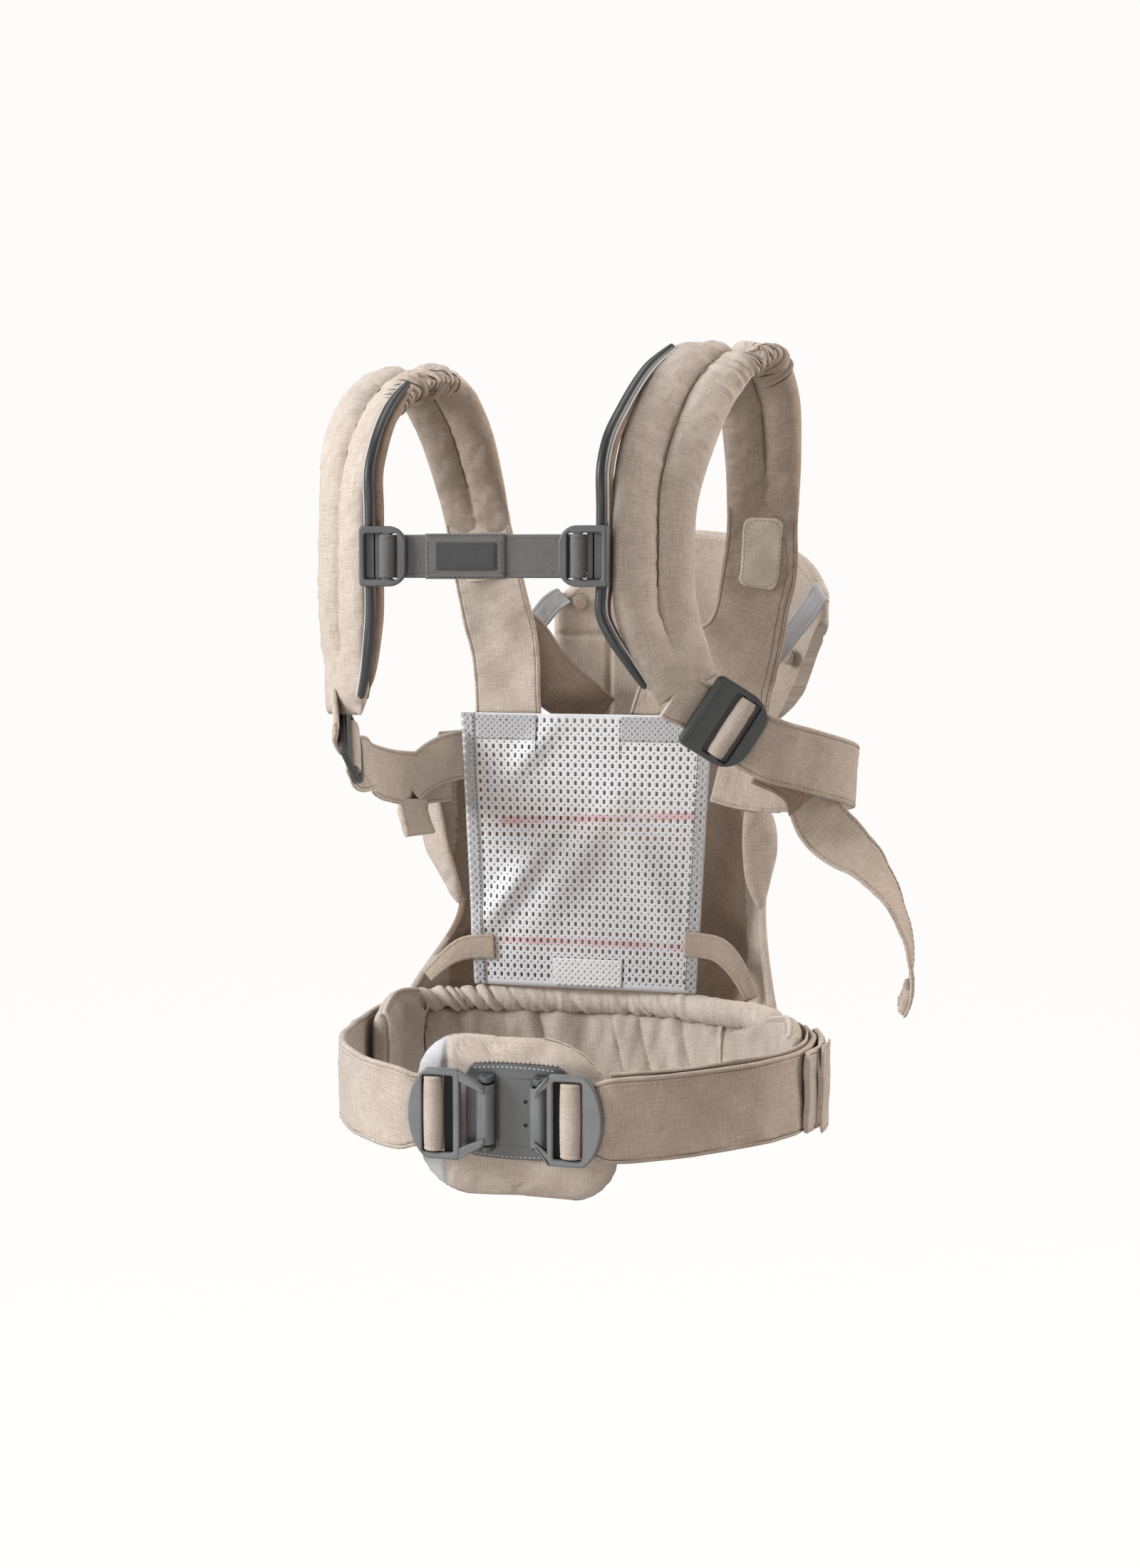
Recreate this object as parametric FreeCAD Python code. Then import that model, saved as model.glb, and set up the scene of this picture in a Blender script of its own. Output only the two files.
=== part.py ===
import FreeCAD, Part
import math
import os

# Soft baby carrier, worn on the adult's front, standing open as if on a body.
# Millimetres, +Z up.  The adult faces +Y, so the waist buckle at the adult's back is
# on the -Y side and the baby sits on the +Y side.  "left" is -X and "right" is +X.
# Origin: centre of the waist ring, at half the height of the waist belt.

V = FreeCAD.Vector

# ---------------------------------------------------------------- driving dimensions
BELT_HEIGHT = 52.0
BELT_THICKNESS = 4.0
FABRIC_THICKNESS = 2.0
WAIST_PAD_THICKNESS = 15.0
WAIST_PAD_BOTTOM = -36.0
WAIST_PAD_TOP = 17.0
TOP_ROLL_DIAMETER = 17.0

SHOULDER_PAD_WIDTH = 54.0
SHOULDER_PAD_THICKNESS = 15.0
FRONT_STRAP_WIDTH = 50.0
FRONT_STRAP_THICKNESS = 4.0
SIDE_WEBBING_WIDTH = 38.0
WEBBING_THICKNESS = 1.8

MESH_THICKNESS = 3.0
MESH_Y = 100.0
MESH_BOTTOM = 34.8
MESH_TOP = 224.0
PANEL_THICKNESS = 6.0

# Chest strap, which slides up and down on a rail along each shoulder pad.
CHEST_Z = 330.0
CHEST_WEBBING_WIDTH = 25.0
RAIL_SIZE = 5.0
RAIL_Y = -125.0
RAIL_X = {"left": -79.0, "right": 60.0}
RAIL_CLEARANCE = 0.5
RAIL_STRAIGHT_LOW = 295.0
RAIL_STRAIGHT_HIGH = 380.0
LOCK_HEIGHT = 35.0
LOCK_REACH = 24.0
LOCK_PLATE = 4.0

# Waist buckle: two adjuster frames hooked on the pins of a base plate.
BUCKLE_Y = -124.0
FRAME_THICKNESS = 5.0
FRAME_HEIGHT = 55.0
FRAME_SLOT_HEIGHT = 47.0
LOOP_HEIGHT = 45.0
PIN_Y = -119.0
PIN_RADIUS = 2.2
PIN_X = {"left": -12.0, "right": 21.0}
JAW_INNER_RADIUS = 3.7
JAW_OUTER_RADIUS = 5.5
JAW_HEIGHT = 36.0
BASE_PLATE_BACK = -108.0
BASE_PLATE_THICKNESS = 3.5
LUMBAR_PAD_THICKNESS = 16.0

SIGN = {"left": -1.0, "right": 1.0}
shapes = {}


# ---------------------------------------------------------------- helpers
def box(x0, x1, y0, y1, z0, z1):
    """A box between two corners, given in any order."""
    size = (abs(x1 - x0), abs(y1 - y0), abs(z1 - z0))
    return Part.makeBox(*size, V(min(x0, x1), min(y0, y1), min(z0, z1)))


def fuse(solids):
    """One solid from touching solids."""
    joined = solids[0].multiFuse(solids[1:]) if len(solids) > 1 else solids[0]
    return joined.removeSplitter()


def tangents(points):
    """Unit directions of travel at each point of a route."""
    found = []
    for index in range(len(points)):
        before = points[max(index - 1, 0)]
        after = points[min(index + 1, len(points) - 1)]
        found.append((after - before).normalize())
    return found


def band(stations, thickness, ruled=False):
    """A strap: stations are (centre, width direction, width), thickness is across its face."""
    centres = [V(*station[0]) for station in stations]
    sections = []
    for (_, across, width), centre, along in zip(stations, centres, tangents(centres)):
        side = V(*across)
        side = (side - along * side.dot(along)).normalize()
        face = along.cross(side).normalize()
        half_side = side * (width / 2)
        half_face = face * (thickness / 2)
        corners = [
            centre - half_side - half_face,
            centre + half_side - half_face,
            centre + half_side + half_face,
            centre - half_side + half_face,
        ]
        sections.append(Part.makePolygon(corners + corners[:1]))
    return Part.makeLoft(sections, True, ruled)


def upright_band(points, bottoms, tops, thickness):
    """A vertical wall along (x, y) points, from a bottom to a top height at each of them."""
    feet = [V(x, y, 0) for x, y in points]
    sections = []
    for foot, along, bottom, top in zip(feet, tangents(feet), bottoms, tops):
        face = V(-along.y, along.x, 0) * (thickness / 2)
        corners = [
            foot - face + V(0, 0, bottom),
            foot + face + V(0, 0, bottom),
            foot + face + V(0, 0, top),
            foot - face + V(0, 0, top),
        ]
        sections.append(Part.makePolygon(corners + corners[:1]))
    return Part.makeLoft(sections, True, False)


def tube(points, diameter):
    """A soft round roll through points, as a loft of circles."""
    centres = [V(*point) for point in points]
    rings = []
    for centre, along in zip(centres, tangents(centres)):
        ring = Part.makeCircle(diameter / 2, centre, along)
        rings.append(Part.Wire([ring]))
    return Part.makeLoft(rings, True, False)


def rounded_rectangle(width, height, radius, centre):
    """A closed wire in the XZ plane about a centre."""
    half_w, half_h = width / 2, height / 2
    arc = radius * (1 - math.sqrt(0.5))
    corners = []
    for sx, sz in ((1, 1), (-1, 1), (-1, -1), (1, -1)):
        on_side = centre + V(sx * half_w, 0, sz * (half_h - radius))
        middle = centre + V(sx * (half_w - arc), 0, sz * (half_h - arc))
        on_end = centre + V(sx * (half_w - radius), 0, sz * half_h)
        first, last = (on_side, on_end) if sx * sz > 0 else (on_end, on_side)
        corners.append((first, middle, last))
    edges = []
    for index, (first, middle, last) in enumerate(corners):
        edges.append(Part.Arc(first, middle, last).toShape())
        following = corners[(index + 1) % 4][0]
        edges.append(Part.makeLine(last, following))
    return Part.Wire(edges)


def plate(wire, depth):
    """A solid between a closed wire and its copy moved by depth."""
    return Part.Face(wire).extrude(depth)


def turned_box(size, centre, x_axis, z_axis):
    """A box about its centre, turned so that its X and Z follow two directions."""
    across = V(*x_axis).normalize()
    up = V(*z_axis)
    up = (up - across * up.dot(across)).normalize()
    depth = up.cross(across)
    block = Part.makeBox(*size, V(-size[0] / 2, -size[1] / 2, -size[2] / 2))
    return turned(block, centre, across, depth, up)


def turned(shape, centre, across, depth, up):
    """Moves a shape from the origin to a centre with three new axes."""
    matrix = FreeCAD.Matrix()
    matrix.A11, matrix.A21, matrix.A31 = across.x, across.y, across.z
    matrix.A12, matrix.A22, matrix.A32 = depth.x, depth.y, depth.z
    matrix.A13, matrix.A23, matrix.A33 = up.x, up.y, up.z
    matrix.A14, matrix.A24, matrix.A34 = centre
    return shape.transformGeometry(matrix)


# ---------------------------------------------------------------- waist belt
def belt_strap(points):
    half = BELT_HEIGHT / 2
    count = len(points)
    return upright_band(points, [-half] * count, [half] * count, BELT_THICKNESS)


def make_belt():
    # Free end of the left half, from the buckle to the bend at the adult's side.
    shapes["belt_strap_left_back"] = belt_strap([
        (-63.0, -118.5), (-75.0, -113.0), (-90.0, -102.5), (-105.0, -87.0)])
    # Sewn part of the left half, from that bend to the waist pad.
    shapes["belt_strap_left_side"] = belt_strap([
        (-106.5, -84.0), (-120.0, -65.0), (-130.5, -38.0), (-135.5, 0.0),
        (-137.0, 35.0), (-136.0, 62.0)])
    shapes["belt_strap_right"] = belt_strap([
        (65.0, -117.0), (88.0, -105.5), (116.0, -82.0), (145.0, -50.5),
        (160.5, -22.0), (165.0, 5.0), (163.0, 32.0), (154.0, 58.0)])
    # The spare end of the right half, folded back on the outside.
    shapes["belt_fold_right"] = belt_strap([
        (168.5, -14.0), (171.5, 5.0), (169.0, 30.0), (163.0, 50.0)])
    half = BELT_HEIGHT / 2 + 2.5
    shapes["belt_keeper_right"] = upright_band(
        [(174.2, -9.0), (175.7, 1.0), (175.4, 11.0)], [-half] * 3, [half] * 3, FABRIC_THICKNESS)


def make_waist_pad():
    middle = [
        (-115.0, 82.0), (-98.0, 93.0), (-65.0, 104.5), (-30.0, 111.0), (0.0, 113.0),
        (30.0, 111.5), (65.0, 103.0), (98.0, 87.0)]
    count = len(middle)
    shapes["waist_pad"] = upright_band(
        middle, [WAIST_PAD_BOTTOM] * count, [WAIST_PAD_TOP] * count, WAIST_PAD_THICKNESS)
    roll_z = WAIST_PAD_TOP + TOP_ROLL_DIAMETER / 2
    roll = [(x, y, roll_z) for x, y in middle]
    shapes["waist_pad_top_roll"] = tube(roll, TOP_ROLL_DIAMETER)
    shapes["waist_pad_end_left"] = upright_band(
        [(-124.0, 20.0), (-125.0, 38.0), (-124.0, 56.0), (-119.5, 73.0)],
        [-32.0, -36.0, -36.0, -36.0], [22.0, 33.0, 35.0, 30.0], WAIST_PAD_THICKNESS)
    shapes["waist_pad_end_right"] = upright_band(
        [(101.0, 86.0), (122.0, 73.0), (141.0, 51.0), (150.0, 27.0), (153.0, 8.0)],
        [-36.0, -36.0, -36.0, -35.0, -32.0], [14.0, 22.0, 31.0, 34.0, 22.0], WAIST_PAD_THICKNESS)


def make_lumbar_pad():
    width, height, radius = 126.0, 102.0, 40.0
    centre = V(3.0, BASE_PLATE_BACK, -4.0)
    outline = rounded_rectangle(width, height, radius, centre)
    pad = plate(outline, V(0, LUMBAR_PAD_THICKNESS, 0))
    pad = pad.makeFillet(5.0, pad.Edges)
    seam_x = -46.0
    shapes["lumbar_pad"] = pad.common(box(seam_x, 100, -150, -50, -100, 100))
    shapes["lumbar_pad_side"] = pad.common(box(-100, seam_x, -150, -50, -100, 100))


# ---------------------------------------------------------------- waist buckle
def make_base_plate():
    back = BASE_PLATE_BACK
    front = back - BASE_PLATE_THICKNESS
    middle_x = (PIN_X["left"] + PIN_X["right"]) / 2
    outline = rounded_rectangle(62.0, 58.0, 6.0, V(middle_x, back, 0))
    solids = [plate(outline, V(0, -BASE_PLATE_THICKNESS, 0))]
    lug_inner = JAW_HEIGHT / 2 + 1.2
    for side in ("left", "right"):
        for end in (-1, 1):
            x = PIN_X[side]
            lug = box(x - 4.2, x + 4.2, front, PIN_Y - 3.6, end * lug_inner, end * (lug_inner + 3.6))
            solids.append(lug)
    # Two low ribs stiffen the floor between the pins.
    for rib_z in (-17.0, 17.0):
        solids.append(box(PIN_X["left"] + 9, PIN_X["right"] - 9, front, front - 1.2, rib_z, rib_z + 1.4))
    body = fuse(solids)
    pin_length = 2 * (lug_inner + 3.6)
    for side in ("left", "right"):
        bore = Part.makeCylinder(PIN_RADIUS, pin_length, V(PIN_X[side], PIN_Y, -pin_length / 2))
        body = body.cut(bore)
        shapes["hook_pin_" + side] = bore
    shapes["buckle_base_plate"] = body


def make_buckle_frame(side, slot_bar, inner_bar, outer):
    """A D-shaped adjuster frame: outer end, wrapped bar, inner bar, arms and a C jaw."""
    sign = SIGN[side]
    y0 = BUCKLE_Y - FRAME_THICKNESS / 2
    y1 = BUCKLE_Y + FRAME_THICKNESS / 2
    half = FRAME_HEIGHT / 2
    slot_half = FRAME_SLOT_HEIGHT / 2
    bar_from, bar_to = slot_bar
    inner_from, inner_to = inner_bar
    pin_x = PIN_X[side]
    # Outline seen from the buckle's face: a round outer end, then straight towards the pin.
    shoulder = outer - sign * 9.0
    outline = Part.Wire([
        Part.makeLine(V(inner_from, y0, -half), V(shoulder, y0, -half)),
        Part.Arc(V(shoulder, y0, -half), V(outer, y0, 0), V(shoulder, y0, half)).toShape(),
        Part.makeLine(V(shoulder, y0, half), V(inner_from, y0, half)),
        Part.makeLine(V(inner_from, y0, half), V(inner_from, y0, -half)),
    ])
    body = plate(outline, V(0, FRAME_THICKNESS, 0))
    body = body.makeFillet(1.2, body.Edges)
    outer_slot = (outer - sign * 8.2, bar_from)
    inner_slot = (bar_to, inner_to)
    for slot_from, slot_to in (outer_slot, inner_slot):
        body = body.cut(box(slot_from, slot_to, y0 - 1, y1 + 1, -slot_half, slot_half))
    # Two arms run together towards the jaw, which is hooked round the pin.
    jaw_half = JAW_HEIGHT / 2
    arms = []
    for end in (-1, 1):
        near = V(inner_from, y0, end * half)
        inside = V(inner_from, y0, end * (half - 6.5))
        tip = V(pin_x, y0, end * jaw_half)
        tip_inside = V(pin_x, y0, end * (jaw_half - 4.0))
        wire = Part.makePolygon([near, inside, tip_inside, tip, near])
        arms.append(plate(wire, V(0, FRAME_THICKNESS - 1.5, 0)))
    jaw_foot = V(pin_x, PIN_Y, -jaw_half)
    jaw = Part.makeCylinder(JAW_OUTER_RADIUS, JAW_HEIGHT, jaw_foot)
    hollow = Part.makeCylinder(JAW_INNER_RADIUS, JAW_HEIGHT, jaw_foot)
    mouth = box(pin_x - 9, pin_x + 9, PIN_Y + 1.0, PIN_Y + 9, -jaw_half, jaw_half)
    # The strap side of the jaw stays open, so the frame lifts straight off.
    entry = box(pin_x, pin_x + sign * 9, PIN_Y - 1.5, PIN_Y + 9, -jaw_half, jaw_half)
    jaw = jaw.cut(mouth).cut(entry)
    solid = fuse([body] + arms + [jaw]).cut(hollow)
    shapes["buckle_frame_" + side] = solid


def make_belt_loop(side, slot_bar, outer):
    """The belt's end loop: round the frame's bar and back behind the outer end."""
    sign = SIGN[side]
    half = LOOP_HEIGHT / 2
    t = 1.8
    gap = 0.35
    front = BUCKLE_Y - FRAME_THICKNESS / 2 - gap
    back = BUCKLE_Y + FRAME_THICKNESS / 2 + gap
    bar_from, bar_to = slot_bar
    outer_leg = bar_from + sign * gap
    inner_leg = bar_to - sign * gap
    solids = [
        box(outer_leg + sign * t, inner_leg - sign * t, front - t, front, -half, half),
        box(outer_leg, outer_leg + sign * t, front, back + t, -half, half),
        box(inner_leg, inner_leg - sign * t, front, back + 2 * t, -half, half),
        box(outer_leg, outer + sign * 1.0, back, back + t, -half, half),
        box(inner_leg, outer + sign * 1.0, back + t, back + 2 * t, -half, half),
    ]
    shapes["belt_loop_" + side] = fuse(solids)


def make_buckle():
    make_base_plate()
    left_bar = (-46.3, -40.6)
    right_bar = (45.9, 36.6)
    make_buckle_frame("left", left_bar, (-25.9, -29.9), -57.4)
    make_buckle_frame("right", right_bar, (27.4, 30.6), 60.6)
    make_belt_loop("left", left_bar, -57.4)
    make_belt_loop("right", right_bar, 60.6)


# ---------------------------------------------------------------- shoulder straps
OUTWARD = 42.0


def outward(side, tilt=OUTWARD, lift=0.0):
    """Width direction of a strap's inner edge to its outer edge, turned off the X axis."""
    angle = math.radians(tilt)
    return (SIGN[side] * math.cos(angle), math.sin(angle), lift)


def make_shoulder_pads():
    wide = SHOULDER_PAD_WIDTH
    right = [
        ((104.0, -92.0, 252.0), outward("right", 20, 0.35), 38.0),
        ((95.5, -99.0, 272.0), outward("right", 34, 0.15), 48.0),
        ((87.0, -101.0, 300.0), outward("right"), wide),
        ((85.5, -101.0, 335.0), outward("right"), wide),
        ((86.0, -97.5, 368.0), outward("right", 38), wide),
        ((91.0, -80.0, 402.0), outward("right", 30), wide),
        ((99.0, -52.0, 432.0), outward("right", 24, -0.05), wide),
        ((109.0, -22.0, 449.0), outward("right", 16, -0.06), wide),
        ((117.0, 8.0, 451.0), outward("right", 10), wide),
        ((123.0, 36.0, 430.0), outward("right", 10), 52.0),
        ((123.0, 60.0, 395.0), outward("right", 14), 50.0),
        ((120.0, 79.0, 352.0), outward("right", 14), 48.0),
    ]
    left = [
        ((-106.0, -92.0, 242.0), outward("left", 36), 38.0),
        ((-104.0, -98.0, 265.0), outward("left", 40), 48.0),
        ((-104.0, -101.0, 298.0), outward("left"), wide),
        ((-104.0, -100.5, 335.0), outward("left"), wide),
        ((-104.0, -96.0, 368.0), outward("left"), wide),
        ((-103.0, -78.0, 402.0), outward("left", 36, 0.1), wide),
        ((-99.0, -50.0, 427.0), outward("left", 30, 0.1), wide),
        ((-91.0, -22.0, 440.0), outward("left", 20, 0.05), wide),
        ((-84.0, 6.0, 438.0), outward("left", 8), wide),
        ((-78.0, 32.0, 418.0), outward("left", 4), 52.0),
        ((-74.0, 56.0, 385.0), outward("left", 4), 50.0),
        ((-71.0, 76.0, 346.0), outward("left", 4), 48.0),
    ]
    shapes["shoulder_pad_right"] = band(right, SHOULDER_PAD_THICKNESS)
    shapes["shoulder_pad_left"] = band(left, SHOULDER_PAD_THICKNESS)


def make_front_straps():
    wide = FRONT_STRAP_WIDTH
    shapes["strap_front_right"] = band([
        ((119.4, 81.6, 345.0), outward("right", 14), 46.0),
        ((115.5, 92.0, 316.0), outward("right", 10), wide),
        ((109.0, 99.5, 290.0), (1.0, 0.0, 0.0), 48.0),
        ((97.0, 103.5, 268.0), (1.0, 0.0, 0.0), 68.0),
        ((83.0, 105.0, 248.0), (1.0, 0.0, 0.0), 88.0),
        ((75.0, 105.5, 230.0), (1.0, 0.0, 0.0), 98.0),
        ((73.0, 105.5, 212.0), (1.0, 0.0, 0.0), 98.0),
    ], FRONT_STRAP_THICKNESS)
    shapes["strap_front_left"] = band([
        ((-70.5, 78.9, 339.0), outward("left", 4), 46.0),
        ((-68.5, 91.0, 312.0), (-1.0, 0.05, 0.0), wide),
        ((-65.0, 99.0, 288.0), (-1.0, 0.0, 0.0), wide),
        ((-61.0, 104.0, 262.0), (-1.0, 0.0, 0.0), 48.0),
        ((-60.0, 105.0, 236.0), (-1.0, 0.0, 0.0), 47.0),
        ((-60.0, 105.0, 212.0), (-1.0, 0.0, 0.0), 47.0),
    ], FRONT_STRAP_THICKNESS)
    # Stitched reinforcement patches on the adult's side of each strap.
    patch_right = turned_box(
        (26.0, 3.0, 40.0), (114.5, 87.8, 318.0), (1.0, 0.18, 0.0), (0.16, -0.33, 1.0))
    patch_left = turned_box(
        (34.0, 3.0, 30.0), (-68.0, 90.4, 308.0), (1.0, 0.0, 0.0), (-0.1, -0.36, 1.0))
    shapes["strap_patch_right"] = patch_right.cut(shapes["strap_front_right"])
    shapes["strap_patch_left"] = patch_left.cut(shapes["strap_front_left"])


def rail_route(side):
    """Points of the rail at a shoulder pad's inner edge: straight where the chest strap slides."""
    x, y = RAIL_X[side], RAIL_Y
    if side == "right":
        lower = [(82.0, -107.5, 254.0), (73.0, -117.0, 270.0), (64.0, -123.5, 286.0)]
        upper = [(61.0, -119.0, 393.0), (66.0, -97.0, 416.0), (74.0, -67.0, 440.0), (83.0, -36.0, 456.0)]
    else:
        lower = [(-92.0, -113.0, 250.0), (-84.5, -120.5, 266.0), (-80.5, -124.5, 282.0)]
        upper = [(-78.5, -118.0, 393.0), (-78.0, -94.0, 416.0), (-74.0, -64.0, 436.0), (-67.0, -36.0, 446.0)]
    straight = [(x, y, RAIL_STRAIGHT_LOW), (x, y, RAIL_STRAIGHT_HIGH)]
    return lower + straight + upper


def make_rails():
    for side in ("left", "right"):
        route = rail_route(side)
        stations = [(point, (1.0, 0.0, 0.0), RAIL_SIZE) for point in route]
        rail = band(stations, RAIL_SIZE, ruled=True)
        shapes["strap_rail_" + side] = rail
        pad = shapes["shoulder_pad_" + side].cut(rail)
        shapes["shoulder_pad_" + side] = max(pad.Solids, key=lambda solid: solid.Volume)
        # The neck sews the straight part of the rail to the pad behind it.
        x, back = RAIL_X[side], RAIL_Y + RAIL_SIZE / 2
        neck = box(x - 0.7, x + 0.7, back, back + 9.0, RAIL_STRAIGHT_LOW, RAIL_STRAIGHT_HIGH)
        neck = neck.cut(shapes["shoulder_pad_" + side])
        shapes["strap_piping_" + side] = max(neck.Solids, key=lambda solid: solid.Volume)


def make_ladder_lock(side):
    sign = SIGN[side]
    rail_x = RAIL_X[side]
    half = LOCK_HEIGHT / 2
    low, high = CHEST_Z - half, CHEST_Z + half
    front = RAIL_Y - RAIL_SIZE / 2 - RAIL_CLEARANCE - LOCK_PLATE
    back = front + LOCK_PLATE
    rail_half = RAIL_SIZE / 2 + RAIL_CLEARANCE
    outside = rail_x + sign * (rail_half + 1.8)
    inside = rail_x - sign * (rail_half + 1.8)
    tip = rail_x - sign * LOCK_REACH
    ladder = box(outside, tip, front, back, low, high)
    ladder = ladder.makeFillet(1.6, ladder.Edges)
    channel_back = RAIL_Y + rail_half
    jaw = box(outside, inside, back - 1.0, channel_back + 1.5, low, high)
    groove = box(rail_x - rail_half, rail_x + rail_half, back, channel_back, low, high)
    mouth = box(rail_x - 2.0, rail_x + 2.0, back, channel_back + 5, low, high)
    lock = fuse([ladder, jaw]).cut(groove).cut(mouth)
    slot_half = CHEST_WEBBING_WIDTH / 2 + 1.0
    bar_outer = tip + sign * 9.3
    bar_inner = tip + sign * 13.3
    slot_low, slot_high = CHEST_Z - slot_half, CHEST_Z + slot_half
    for slot_from, slot_to in ((tip + sign * 4.2, bar_outer), (bar_inner, inside - sign * 0.6)):
        lock = lock.cut(box(slot_from, slot_to, front - 1, back + 1, slot_low, slot_high))
    shapes["ladder_lock_" + side] = lock
    return tip, bar_outer, bar_inner, front, back


def make_chest_strap():
    t = WEBBING_THICKNESS
    gap = 0.3
    low = CHEST_Z - CHEST_WEBBING_WIDTH / 2
    high = CHEST_Z + CHEST_WEBBING_WIDTH / 2
    solids = []
    run_ends = []
    for side in ("left", "right"):
        sign = SIGN[side]
        tip, bar_outer, bar_inner, front, back = make_ladder_lock(side)
        near = bar_outer - sign * gap
        far = bar_inner + sign * gap
        return_end = tip - sign * 10.0
        solids += [
            box(near - sign * t, far + sign * t, front - gap - t, front - gap, low, high),
            box(near - sign * t, near, front - gap, back + gap + t, low, high),
            box(far, far + sign * t, front - gap, back + 2 * gap + 2 * t, low, high),
            box(return_end, far, back + 2 * gap + t, back + 2 * gap + 2 * t, low, high),
        ]
        run_ends.append(near - sign * t)
        run_front = back + gap
    left_end, right_end = run_ends
    solids.append(box(left_end, right_end, run_front, run_front + t, low, high))
    shapes["chest_webbing"] = fuse(solids)
    # A second layer is sewn on the outside at the middle, with a plain woven patch on it.
    overlap_front = run_front - t
    shapes["chest_webbing_overlap"] = box(-44.0, 4.0, overlap_front, run_front, low - 0.6, high + 0.6)
    patch_low, patch_high = CHEST_Z - 8.0, CHEST_Z + 8.0
    shapes["chest_patch"] = box(-37.5, -1.0, overlap_front - 0.9, overlap_front, patch_low, patch_high)


# ---------------------------------------------------------------- glides and side webbing
GLIDES = {
    "right": {"centre": (126.0, -86.0, 232.0), "along": (0.74, 0.32, -0.5), "up": (0.55, 0.1, 0.85)},
    "left": {"centre": (-107.0, -83.0, 216.0), "along": (0.05, 0.62, -0.62), "up": (-0.25, 0.62, 0.62)},
}
GLIDE_LENGTH = 40.0
GLIDE_WIDTH = 47.0
GLIDE_THICKNESS = 4.0
TAB_END = 36.0
TAB_LEG = -12.4
TAB_GAP = 1.3


def glide_axes(side):
    """Directions of a glide: along the webbing, out of its face, and across the webbing."""
    along = V(*GLIDES[side]["along"]).normalize()
    up = V(*GLIDES[side]["up"])
    up = (up - along * up.dot(along)).normalize()
    return along, up.cross(along), up


def place_on_glide(shape, side):
    along, depth, up = glide_axes(side)
    return turned(shape, GLIDES[side]["centre"], along, depth, up)


def make_glides():
    half_t = GLIDE_THICKNESS / 2
    half_l = GLIDE_LENGTH / 2
    slot_half = SIDE_WEBBING_WIDTH / 2 + 0.8
    for side in ("left", "right"):
        outline = rounded_rectangle(GLIDE_LENGTH, GLIDE_WIDTH, 9.0, V(0, -half_t, 0))
        body = plate(outline, V(0, GLIDE_THICKNESS, 0))
        # Fixed slot for the sewn tab, then two slots for the webbing about a middle bar.
        for slot_from, slot_to in ((-15.5, -11.5), (-6.5, 1.0), (6.0, 13.5)):
            body = body.cut(box(slot_from, slot_to, -9, 9, -slot_half, slot_half))
        shapes["glide_" + side] = place_on_glide(body, side)
        # Webbing wrapped over the middle bar of the glide.
        t = WEBBING_THICKNESS
        half_w = SIDE_WEBBING_WIDTH / 2
        gap = 0.35
        loop = fuse([
            box(1.0 - gap - t, 6.0 + gap + t, -half_t - gap - t, -half_t - gap, -half_w, half_w),
            box(1.0 - gap - t, 1.0 - gap, -half_t - gap, half_t + gap + t, -half_w, half_w),
            box(6.0 + gap, 6.0 + gap + t, -half_t - gap, half_t + gap + t, -half_w, half_w),
        ])
        shapes["glide_loop_" + side] = place_on_glide(loop, side)
        # The tab that ties the glide to the lower end of the shoulder pad.
        face = half_t + TAB_GAP
        tab = fuse([
            box(-TAB_END, TAB_LEG, face, face + t, -16, 16),
            box(TAB_LEG - t, TAB_LEG, -face, face, -16, 16),
            box(-TAB_END, TAB_LEG, -face - t, -face, -16, 16),
            box(-TAB_END, -half_l - 1.0, -face - t, face + t, -16, 16),
        ])
        tab = place_on_glide(tab, side).cut(shapes["shoulder_pad_" + side])
        shapes["strap_tab_" + side] = max(tab.Solids, key=lambda solid: solid.Volume)


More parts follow.
